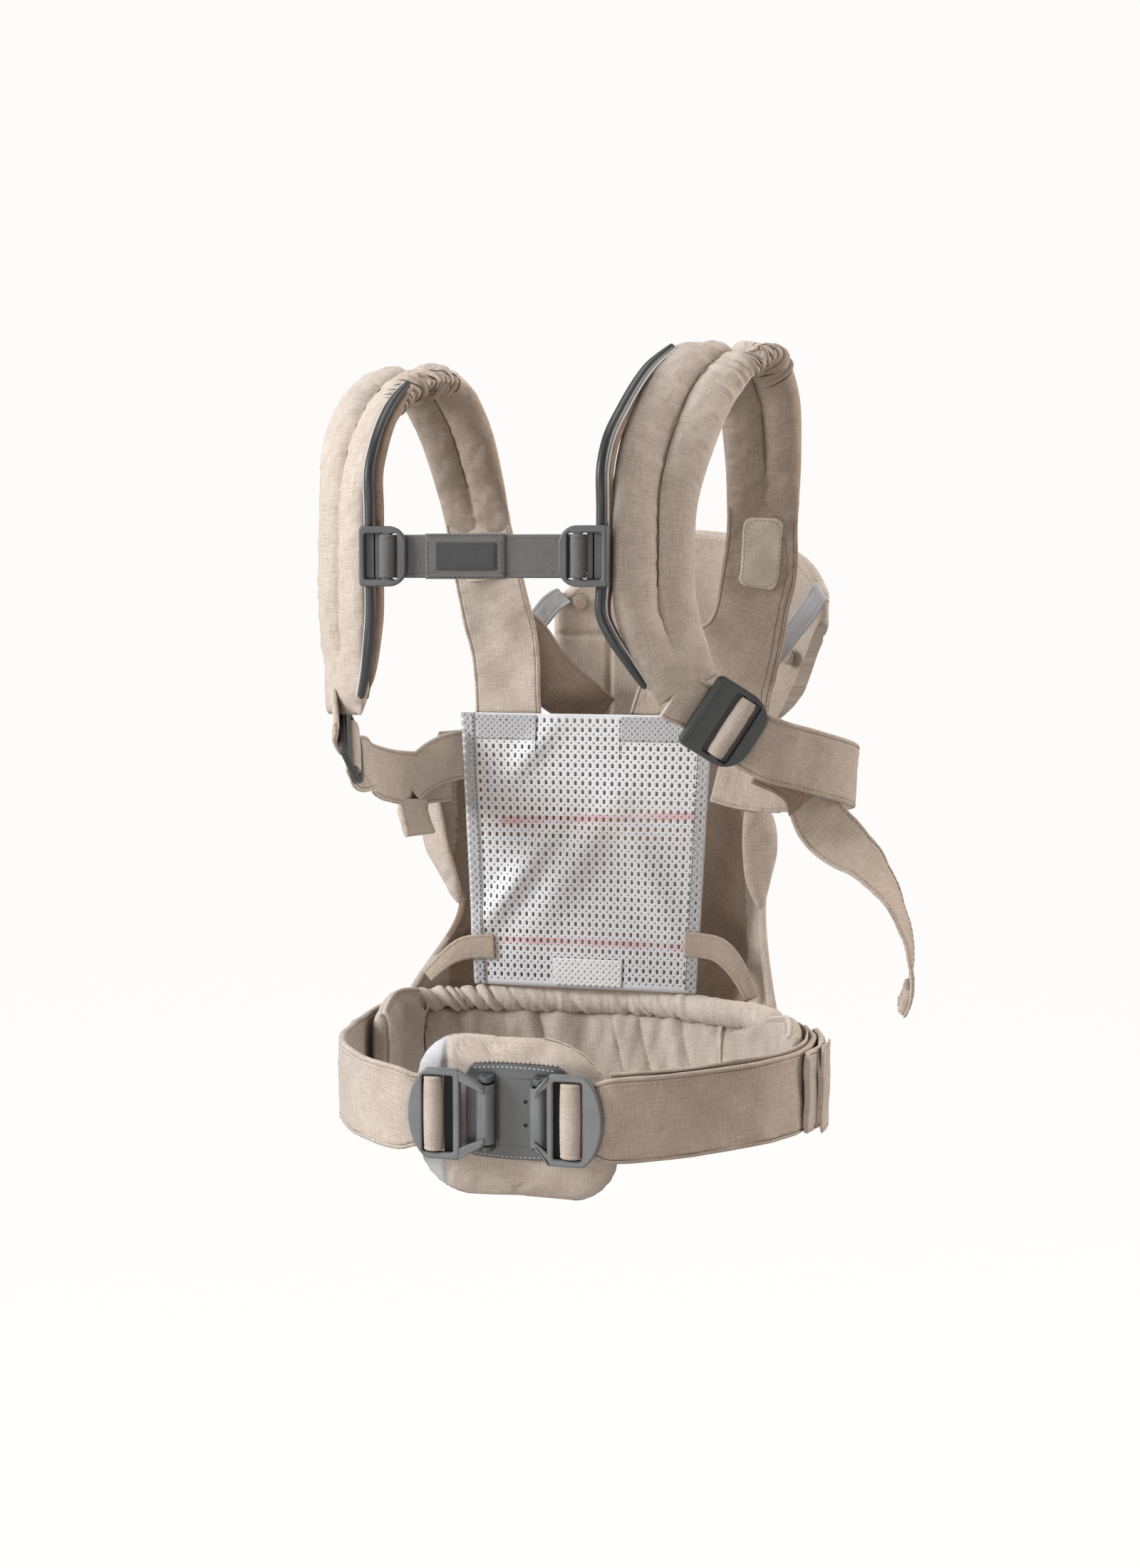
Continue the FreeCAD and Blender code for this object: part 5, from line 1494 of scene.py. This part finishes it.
def mesh_point(s, t, depth=0.0):
    """A point of the mesh panel: s across and t up, both 0 to 1, with its soft folds."""
    left = -83 + (-92 + 83) * t
    right = 74 + (84 - 74) * t
    x = (left + (right - left) * s) * MM
    z = MESH_LOW + (MESH_HIGH - MESH_LOW) * t
    slack = np.sin(np.pi * s) * np.sin(np.pi * np.clip(t * 1.02, 0, 1)) ** 0.8
    ridge = bell((x + 52 * MM) * 0.87 - (z - 108 * MM) * 0.62, 9 * MM) * bell(z - 108 * MM, 34 * MM)
    second = bell((x + 8 * MM) * 0.9 - (z - 128 * MM) * 0.55, 13 * MM) * bell(z - 120 * MM, 40 * MM)
    third = bell((x - 38 * MM) * 0.93 + (z - 120 * MM) * 0.4, 11 * MM) * bell(z - 115 * MM, 46 * MM)
    top = bell((x + 40 * MM) * 0.8 - (z - 200 * MM) * 0.6, 8 * MM) * bell(z - 196 * MM, 20 * MM)
    y = (
        100 * MM - (8.0 * ridge + 6.5 * second + 4.5 * third + 4.5 * top) * MM
        + 2.4 * MM * slack + depth)
    return np.stack([x, y, z], -1)


def knit_sheet(name, span, cells, hole, offset, material, depth=0.0, closed=None, thickness=0.9):
    """A net of the mesh panel between two corners (s, t): rows of openings, every other row
    shifted by half a cell and smaller."""
    (s0, t0), (s1, t1) = span
    wide, high = cells
    side, upright, small = hole
    across = np.array([0.0, side, (1 + side - small) / 2, (1 + side + small) / 2])
    upward = np.array([0.0, upright, (1 + upright - small) / 2, (1 + upright + small) / 2])
    s = np.append((np.arange(wide)[:, None] + across[None, :]).ravel(), wide) / wide
    t = np.append((np.arange(high)[:, None] + upward[None, :]).ravel(), high) / high
    grid_s, grid_t = np.meshgrid(s0 + (s1 - s0) * s, t0 + (t1 - t0) * t)
    points = mesh_point(grid_s, grid_t, depth)
    rows, columns = grid_s.shape
    ids = np.arange(rows * columns).reshape(rows, columns)
    faces = []
    for i in range(rows - 1):
        for j in range(columns - 1):
            opening = (i % 4 == 0 and j % 4 == 0) or (i % 4 == 2 and j % 4 == 2)
            edge = i < offset or j < offset or i > rows - 2 - offset or j > columns - 2 - offset
            if opening and not edge and not (closed and closed(points[i, j] / MM, i)):
                continue
            faces.append([ids[i, j], ids[i, j + 1], ids[i + 1, j + 1], ids[i + 1, j]])
    slant = (
        points[..., 2] - 0.05 * (points[..., 0] + 72 * MM)
        * np.clip((points[..., 2] - 90 * MM) / (60 * MM), 0, 1))
    uv = np.stack([points[..., 0], slant], -1).reshape(-1, 2)
    made = add_mesh(name, points.reshape(-1, 3), faces, material, uv, 60.0, weld=False)
    shape = bmesh.new()
    shape.from_mesh(made.data)
    bmesh.ops.delete(shape, geom=[v for v in shape.verts if not v.link_faces], context="VERTS")
    shape.to_mesh(made.data)
    shape.free()
    solid = made.modifiers.new("solid", "SOLIDIFY")
    solid.thickness = thickness * MM
    solid.offset = 0.0
    bpy.context.view_layer.objects.active = made
    bpy.ops.object.modifier_apply(modifier="solid")
    return made


def make_mesh_panel():
    """The open knit on the adult's side, its backing, turned-over sides, corners and label."""
    yarn = knitted(
        "mesh", srgb(245, 246, 249), srgb(214, 216, 220), srgb(222, 158, 172),
        ((146.5, 151.5), (64.0, 69.0)))

    def label_area(point, row):
        return -28 < point[0] < 22 and point[2] < 56 and row % 4 == 2

    made = knit_sheet(
        "wearer_panel_mesh", ((0, 0), (1, 1)), (33, 31), (0.36, 0.47, 0.19), 2, yarn, closed=label_area)
    put(made, "carrier", ("wearer_panel_mesh",))

    for number, (low, high) in enumerate(((0.02, 0.12), (0.215, 0.545), (0.68, 0.985))):
        s2, t2 = np.meshgrid(np.linspace(0.075, 0.95, 40), np.linspace(low, high, 24))
        grid = mesh_point(s2, t2, 2.6 * MM)
        surface = Surface(grid, np.broadcast_to(FRONT, grid.shape))
        thin = np.full(s2.shape, 0.35 * MM)
        piece, _, _ = quilt("mesh_backing_" + str(number), surface, thin, thin, MESH_BACK)
        put(piece, "carrier", ())
    # The sides are turned over and sewn, so the net is double there; so are its top corners.
    for side, s0, s1 in (("left", 0.0, 0.054), ("right", 0.946, 1.0)):
        name = "mesh_binding_" + side
        hem = knit_sheet(
            name, ((s0, 0.0), (s1, 1.0)), (2, 34), (0.36, 0.42, 0.24), 0, HEM, -1.0 * MM, thickness=0.7)
        put(hem, "carrier", (name,))
        inner = s1 - 0.006 if side == "left" else s0 + 0.006
        line = mesh_point(np.full(60, inner), np.linspace(0.01, 0.99, 60), -1.5 * MM)
        stitch(("carrier", "grey"), line, FRONT, length=2.2, gap=0.8, width=0.5)
    for number, (s0, s1) in enumerate(((0.060, 0.305), (0.640, 0.940))):
        corner = knit_sheet(
            "mesh_corner_" + str(number), ((s0, 0.905), (s1, 0.994)), (round((s1 - s0) * 42), 4),
                            (0.28, 0.30, 0.22), 0, HEM, -0.95 * MM, thickness=0.7)
        put(corner, "carrier", ())
        seam = s1 if number == 0 else s0
        line = mesh_point(np.full(12, seam), np.linspace(0.85, 0.985, 12), -1.2 * MM)
        stitch(("carrier", "grey"), line, FRONT, length=1.6, gap=0.6, width=0.5)
    label = knit_sheet(
        "mesh_label", ((57 / 157.0, 0.008), (105 / 157.0, 0.108)), (11, 4), (0.20, 0.24, 0.14), 0,
        LABEL_WHITE,
                       -1.0 * MM, thickness=0.5)
    put(label, "carrier", ("mesh_label",))


# ---------------------------------------------------------------- baby-side panel
def make_front_panel():
    """The bowed panel on the baby's side, its leg pads, seat tapes and left strap."""
    levels = [
        (12, [(-139, 78), (-88, 128), (0, 141), (80, 127), (137, 87)]),
        (40, [(-125, 97), (-76, 144), (0, 160), (76, 144), (129, 99)]),
        (90, [(-101, 116), (-66, 172), (4, 190), (72, 172), (120.5, 114)]),
        (138, [(-122, 114), (-78, 182), (4, 207), (82, 182), (123, 116)]),
        (180, [(-122, 110), (-80, 182), (4, 208), (84, 182), (122, 114)]),
        (210, [(-114, 112), (-76, 176), (4, 202), (82, 178), (118, 118)])]
    columns, rows = 130, 110
    bands = [smooth([[x * MM, y * MM, z * MM] for x, y in points], columns) for z, points in levels]
    points = np.stack([smooth([band[c] for band in bands], rows) for c in range(columns)], 1)
    centre = points * np.array([0.0, 0.0, 1.0]) + np.array([0.0, 0.05, 0.0])
    normals = grid_normals(points, points - centre)
    surface = Surface(points - normals * 3 * MM, normals)
    edge_u = np.minimum(surface.u - surface.u[:, :1], surface.u[:, -1:] - surface.u)
    near = np.minimum(edge_u, surface.from_ends())
    calm = np.clip(near / (22 * MM), 0, 1)
    folds = ripple(surface.points * np.array([1.0, 1.0, 0.35]), 78 * MM, 121) * 1.8 * MM * calm
    fine = ripple(surface.points, 24 * MM, 122) * 0.18 * MM * calm
    surface.points = (
        surface.points + normals * (folds + fine)[..., None]
        - normals * (1.0 * MM * calm)[..., None])
    hem = bell(near - 3.2 * MM, 3.0 * MM)
    rim = rounding(near, 3 * MM)
    groove = 1 - 0.35 * bell(near - 8.0 * MM, 1.3 * MM)
    darts = 1 - 0.45 * (bell(surface.u - 52 * MM, 1.8 * MM) + bell(surface.u + 52 * MM, 1.8 * MM))
    half = (1.9 + 1.1 * hem) * MM * rim * groove * darts
    made, outer, inner = quilt("front_panel", surface, half, half, BEIGE)
    # Faces inside the bow, turned from the light, get the darker lining colour: painted shade.
    made.data.materials.append(SHADE_LINING)
    facing = polygon_vectors(made.data, "normal")
    middle = polygon_vectors(made.data, "center") - np.array([0.0, -0.05, 0.0])
    inside = (facing[:, :2] * middle[:, :2]).sum(1) < 0
    inside &= (
        (middle[:, 0] < 106 * MM - 0.12 * np.maximum(middle[:, 2] - 60 * MM, 0))
        & (middle[:, 0] > -105 * MM))
    made.data.polygons.foreach_set("material_index", inside.astype(np.int32))
    put(made, "carrier", ("front_panel",))
    for face in (outer, inner):
        edge_stitches(SEWN, face, 8.0, start=0.04, stop=0.96)
        for u in (-50 * MM, 50 * MM):
            stitch(SEWN, *line_on(face, [(u, 8 * MM), (u, face.v[-1] - 8 * MM)]))
        last = face.v[-1] - 8 * MM
        wide = face.u[-1, -1] - 10 * MM
        stitch(SEWN, *line_on(face, [(-wide, last), (wide, last)]))

    pads = {
        "right": [((111, 101.5, 170), (0.9, 0.35, 0.1), 11), ((115, 101.5, 156), (0.85, 0.4, 0.05), 21),
                  ((116.5, 102, 136), (0.8, 0.45, 0), 25), ((115.5, 102, 116), (0.8, 0.45, 0), 19),
                  ((117, 102, 94), (0.8, 0.45, 0), 6)],
        "left": [((-112, 99.5, 168), (-0.8, 0.45, 0), 10), ((-113, 100, 152), (-0.8, 0.45, 0), 20),
                 ((-111, 101, 132), (-0.8, 0.45, 0), 24), ((-102, 102.5, 110), (-0.8, 0.45, 0), 16),
                 ((-95, 104, 90), (-0.8, 0.45, 0), 6)],
    }
    shares = 0.5 * bunched(30)
    for side, stations in pads.items():
        surface, _ = strap_surface(stations, 70, shares)
        cap = rounding(surface.from_ends(), 14 * MM)
        taper = 0.35 + 0.65 * cap
        centre_line = surface.points[:, 15:16]
        surface = Surface(
            centre_line + (surface.points - centre_line) * taper[..., None], surface.normals)
        dome = (1 - np.abs(2 * shares) ** 2.2)[None, :] ** 0.5 * cap
        relief = 1 + 0.10 * ripple(surface.points, 14 * MM, 131)
        half = 3.6 * MM * dome * relief
        name = "leg_pad_" + side
        made, _, _ = quilt(name, surface, half, half, BEIGE)
        put(made, "carrier", (name,))
    tapes = {
        "right": [((66, 97.3, 69), (0, 0, 1), 17), ((78, 97, 68.5), (0.05, 0, 1), 17),
                  ((90, 96, 66), (0.25, 0, 1), 17), ((99.5, 94.5, 58), (0.6, 0.15, 0.8), 14.5),
                  ((107.5, 93, 46), (0.8, 0.3, 0.5), 11.5), ((113, 92, 34), (0.85, 0.3, 0.35), 9)],
        "left": [((-68, 97.3, 62), (0, 0, 1), 17), ((-80, 97, 61.5), (0, 0, 1), 17),
                 ((-90, 96.5, 59.5), (-0.1, 0, 1), 16), ((-100, 95, 54), (-0.4, 0.2, 0.9), 13),
                 ((-109, 93, 46), (-0.6, 0.3, 0.7), 11), ((-115, 91, 40), (-0.7, 0.3, 0.6), 10)],
    }
    for side, stations in tapes.items():
        name = "seat_tape_" + side
        made, one, other = flat_strap(name, stations, 1.5, BEIGE_TAPE, 80, 0.25, 141)
        put(made, "carrier", (name,))
        outer = front_of(one, other)
        edge_stitches(SEWN, outer, 2.2, length=1.8)
    stations = [
        (centre, (0.65, 0.2, 0.75), width) for centre, width in (
            ((-60, 112, 281), 38), ((-54, 121, 272), 40), ((-43, 134, 252), 40),
            ((-29, 148, 236), 38), ((-16, 160, 225), 34), ((-8, 170, 218), 30))]
    # This connecting strap is in the darker beige: painted shade.
    made, one, other = flat_strap("panel_strap_left", stations, 1.9, SHADED_BEIGE, 60, 0.8, 142)
    put(made, "carrier", ("panel_strap_left",))
    outer = front_of(one, other)
    edge_stitches(SEWN, outer)


# ---------------------------------------------------------------- head support
def make_head_support():
    """The crowned flap with its sewn cross, two snaps and two elastic strips."""
    middle = [
        (-46, 180), (-12, 196), (30, 202), (75, 198), (112, 184), (130, 172), (142, 162), (153, 151)]
    tops = [300.0, 331.0, 348.0, 348.0, 340.0, 334.0, 324.0, 305.0]
    bottoms = [214.0, 212.0, 212.0, 212.0, 214.0, 236.0, 264.0, 290.0]
    shares = 0.5 - 0.5 * np.cos(np.linspace(0, np.pi, 70))
    surface = upright_surface(middle, bottoms, tops, 150, shares * 0.7 + 0.3 * np.linspace(0, 1, 70))
    z = surface.points[..., 2]
    x = surface.points[..., 0]
    near = np.minimum(surface.from_ends(), z[:, -1:] - z)
    rim = rounding(near, 7 * MM)
    base = 0.35 + 0.65 * np.clip((z - 214 * MM) / (22 * MM), 0, 1)
    crossing = bell(z - 275.5 * MM, 1.8 * MM)
    upright = bell(x + 9.7 * MM, 1.8 * MM) * (z < 276 * MM)
    valley = 1 - 0.38 * np.maximum(crossing * (x < 40 * MM), upright)
    swell = 0.80 + 0.20 * np.clip(near / (24 * MM), 0, 1)
    relief = (
        (1.0 * ripple(surface.points * np.array([1, 1, 0.5]), 44 * MM, 151)
         + 0.15 * ripple(surface.points, 14 * MM, 152)) * MM)
    half = 6.3 * MM * rim * base * swell
    gate = np.clip(near / (10 * MM), 0, 1)
    place = ("carrier", "head_support", (0.05, 0.2, 0.216), (0.05, 0.2, 0.240))
    outside = np.maximum(half * (1 - 0.3 * crossing) + relief * gate, 0)
    inside = np.maximum(half * valley + relief * gate * 0.7, 0)
    made, outer, inner = quilt("head_support", surface, outside, inside, BEIGE)
    put(made, place, ("head_support",))
    for face in (outer, inner):
        line = [face.at(face.u[row, -1] - 9 * MM, face.v[row]) for row in range(4, 146)]
        stitch((place, "beige"), *zip(*line))
    snaps = []
    for centre, facing in (((-27, 180.5, 298), (0.4, -0.9, 0)), ((126, 161.2, 262), (-0.64, -0.77, 0))):
        facing = unit(np.array(facing, float))
        across = np.array([-facing[1], facing[0], 0.0])
        for radius, thick, lift in ((6.0, 1.2, 1.1), (4.4, 0.9, 1.9)):
            disc = plate("disc", circle(radius, 32), [], thick * MM, SNAP, 0.35 * MM)
            turn(
                disc, (np.array(centre) + facing * lift) * MM, across, (0, 0, 1),
                np.cross(across, (0, 0, 1)))
            snaps.append(disc)
    put(join("head_snaps", snaps), "head_support", ("head_snaps",))
    strips = {
        "left": [
            ((-38.5, 182.6, 301), (-0.66, -0.1, 0.65), 13),
            ((-38, 175.5, 303), (-0.66, -0.1, 0.65), 14.5),
            ((-45, 169, 298), (-0.66, -0.1, 0.65), 15.5),
            ((-52, 162, 288), (-0.66, -0.1, 0.65), 15.5),
            ((-60, 152, 277), (-0.66, -0.1, 0.65), 14)],
        "right": [
            ((152.2, 151.5, 303.5), (-0.55, 0.3, 0.8), 12), ((150.5, 141, 307), (-0.55, 0.3, 0.8), 14),
            ((143, 134, 294), (-0.6, 0.3, 0.75), 14.5),
            ((131, 124, 276), (-0.65, 0.3, 0.7), 13.5), ((122, 117, 261), (-0.65, 0.3, 0.7), 11)],
    }
    for side, stations in strips.items():
        name = "head_elastic_" + side
        made, _, _ = flat_strap(name, stations, 1.3, ELASTIC, 40, 0.25, 161)
        put(made, "head_support", (name,))


# ---------------------------------------------------------------- waist buckle
BUCKLE_Y, PIN_Y = -124.0, -119.0
PIN_X = {"left": -12.0, "right": 21.0}


def wedge(corners, y_front, y_back, material, bevel=0.6):
    """A moulded plate with corners (x, z) in mm, standing between two depths."""
    made = plate(
        "wedge", [(x * MM, z * MM) for x, z in corners], [], (y_back - y_front) * MM, material,
        bevel * MM)
    return turn(made, (0, (y_front + y_back) / 2 * MM, 0), *STANDING)


def make_frame(side, slot, inner, outer):
    """An adjuster frame: a round outer end, the strap's window, then arms down to a hooked jaw.

    slot is the window's two sides, inner and outer the frame's ends, all as x in mm."""
    sign = SIGN[side]
    half = 27.5
    outline = []
    for angle in np.linspace(-72, 72, 25):
        # The outer end is part of a wide ellipse.
        x = outer - sign * 17.0 * (1 - math.cos(math.radians(angle)))
        outline.append((x, half * math.sin(math.radians(angle)) / math.sin(math.radians(72))))
    outline += [
        (inner + sign * 2, half), (inner, half - 2), (inner, -half + 2), (inner + sign * 2, -half)]
    window = rounded(*sorted(slot), -23.2, 23.2, [1.3] * 4, 4)
    if sign < 0:
        outline = outline[::-1]
    face = plate(
        "face", [(x * MM, z * MM) for x, z in outline], [[(x * MM, z * MM) for x, z in window]],
        5.0 * MM, FRAME, 1.3 * MM)
    turn(face, (0, BUCKLE_Y * MM, 0), *STANDING)
    pieces = [face]
    # A near-black plate behind the window: painted shade in the slot.
    floor = sorted((slot[1] - sign * 0.5, slot[1] + sign * 6.6))
    pieces.append(block("floor", (floor[0], -121.9, -23.6), (floor[1], -121.2, 23.6), RECESS_SHADE, 0.2))
    pin = PIN_X[side]
    for end in (-1, 1):
        for root, high, low, tip, tip_low, front, back, bevel in (
                (1.5, half, half - 7.0, 1.0, 13.4, -126.2, -122.6, 0.8),
                (1.0, half - 0.6, half - 2.6, 0.0, 16.0, -127.2, -125.6, 0.6)):
            corners = [
                (inner + sign * root, end * high), (inner + sign * root, end * low),
                (pin - sign * tip, end * tip_low), (pin - sign * tip, end * 18.0)]
            pieces.append(wedge(corners if end > 0 else corners[::-1], front, back, FRAME, bevel))
    # The jaw: a C that opens towards the strap's side, hooked round the pin.
    start, stop = (-55, 215) if sign < 0 else (-35, 235)
    outline = [
        (radius * math.cos(math.radians(a)) * MM, radius * math.sin(math.radians(a)) * MM)
        for radius, first, last in (
            (5.5, start, stop), (3.75, stop, start)) for a in np.linspace(first, last, 28)]
    jaw = plate("jaw", outline, [], 36.0 * MM, FRAME, 0.35 * MM)
    turn(jaw, (pin * MM, PIN_Y * MM, 0), *LYING)
    pieces.append(jaw)
    name = "buckle_frame_" + side
    put(join(name, pieces), "buckle_" + side, (name,))


def make_buckle():
    """The base plate with its lugs, hook pins and stitching, and the two adjuster frames."""
    centre_x = (PIN_X["left"] + PIN_X["right"]) / 2
    front = -111.5
    # Base plate: its top and bottom edges bow outwards a little.
    outline = []
    for end in (1, -1):
        for share in np.linspace(1, -1, 25) * end:
            x = centre_x + share * 31.0
            bow = 27.6 + 1.4 * (1 - share ** 2)
            round_off = 6.0 * (1 - math.sqrt(max(0.0, 1 - max(0.0, (abs(share) * 31 - 25) / 6.0) ** 2)))
            outline.append((x, end * (bow - round_off)))
    pieces = [wedge(outline, front, -108.0, SLATE, 0.9)]
    for z in (-17.4, 16.6):
        pieces.append(block(
            "rib", (centre_x - 9.5, front - 0.5, z), (centre_x + 9.5, front + 0.5, z + 0.8), SLATE,
            0.2))
    floor = [(centre_x + 10.5 * x, 20.5 * z) for x, z in ((1, 1), (-1, 1), (-1, -1), (1, -1))]
    pieces.append(wedge(floor, front - 0.55, front + 0.5, SLATE, 0.45))
    for side in SIDES:
        for end in (-1, 1):
            x = PIN_X[side]
            low, high = sorted((end * 19.2, end * 22.8))
            lug = rounded(
                -4.2 * MM, 4.2 * MM, 0.0, 11.2 * MM, [4.1 * MM, 4.1 * MM, 0.5 * MM, 0.5 * MM], 8)
            made = plate("lug", lug, [], 3.6 * MM, SLATE, 0.5 * MM)
            turn(made, (x * MM, front * MM, (low + high) / 2 * MM), *LYING)
            pieces.append(made)
    put(join("buckle_base_plate", pieces), "carrier", ("buckle_base_plate",))
    # Two near-black dots: painted shade of two small hollows in the plate.
    for z in (6.9, -7.4):
        dot = plate(
            "buckle_dot_" + ("high" if z > 0 else "low"), circle(1.15, 16), [], 0.5 * MM, RECESS_SHADE,
            0.1 * MM)
        turn(dot, ((centre_x + 6.4) * MM, (front - 0.65) * MM, z * MM), *STANDING)
        put(dot, "carrier", ())
    for end in (1, -1):
        for reach, y, z, bow, height in ((26.0, front, 25.9, 1.4, 0.7), (27.5, -108.6, 28.6, 1.3, 0.9)):
            points = [
                np.array([centre_x + u * reach, y, end * (z + bow * (1 - u * u))]) * MM
                for u in np.linspace(-1, 1, 40)]
            stitch(("carrier", "silver"), points, FRONT, length=1.5, gap=1.3, width=1.1, height=height)
    for side in SIDES:
        shaft = [(PIN_X[side] * MM, PIN_Y * MM, z * MM) for z in np.linspace(-22.8, 22.8, 12)]
        pin = tube_between("hook_pin_" + side, shaft, 2.2 * MM, PIN, 20, up=(0, 1, 0))
        put(pin, "carrier", ("hook_pin_" + side,))
    make_frame("left", (-49.2, -30.2), -25.9, -58.2)
    make_frame("right", (48.8, 31.4), 27.4, 61.0)


make_belt()
make_waist_pad()
make_lumbar_pad()
for side in SIDES:
    make_gathers(side, *make_shoulder_pad(side, LEFT_PAD if side == "left" else RIGHT_PAD))
    make_rail(side)
make_front_straps()
make_chest_strap()
make_glides()
make_side_webbing()
make_mesh_panel()
make_front_panel()
make_head_support()
make_buckle()
make_stitches()
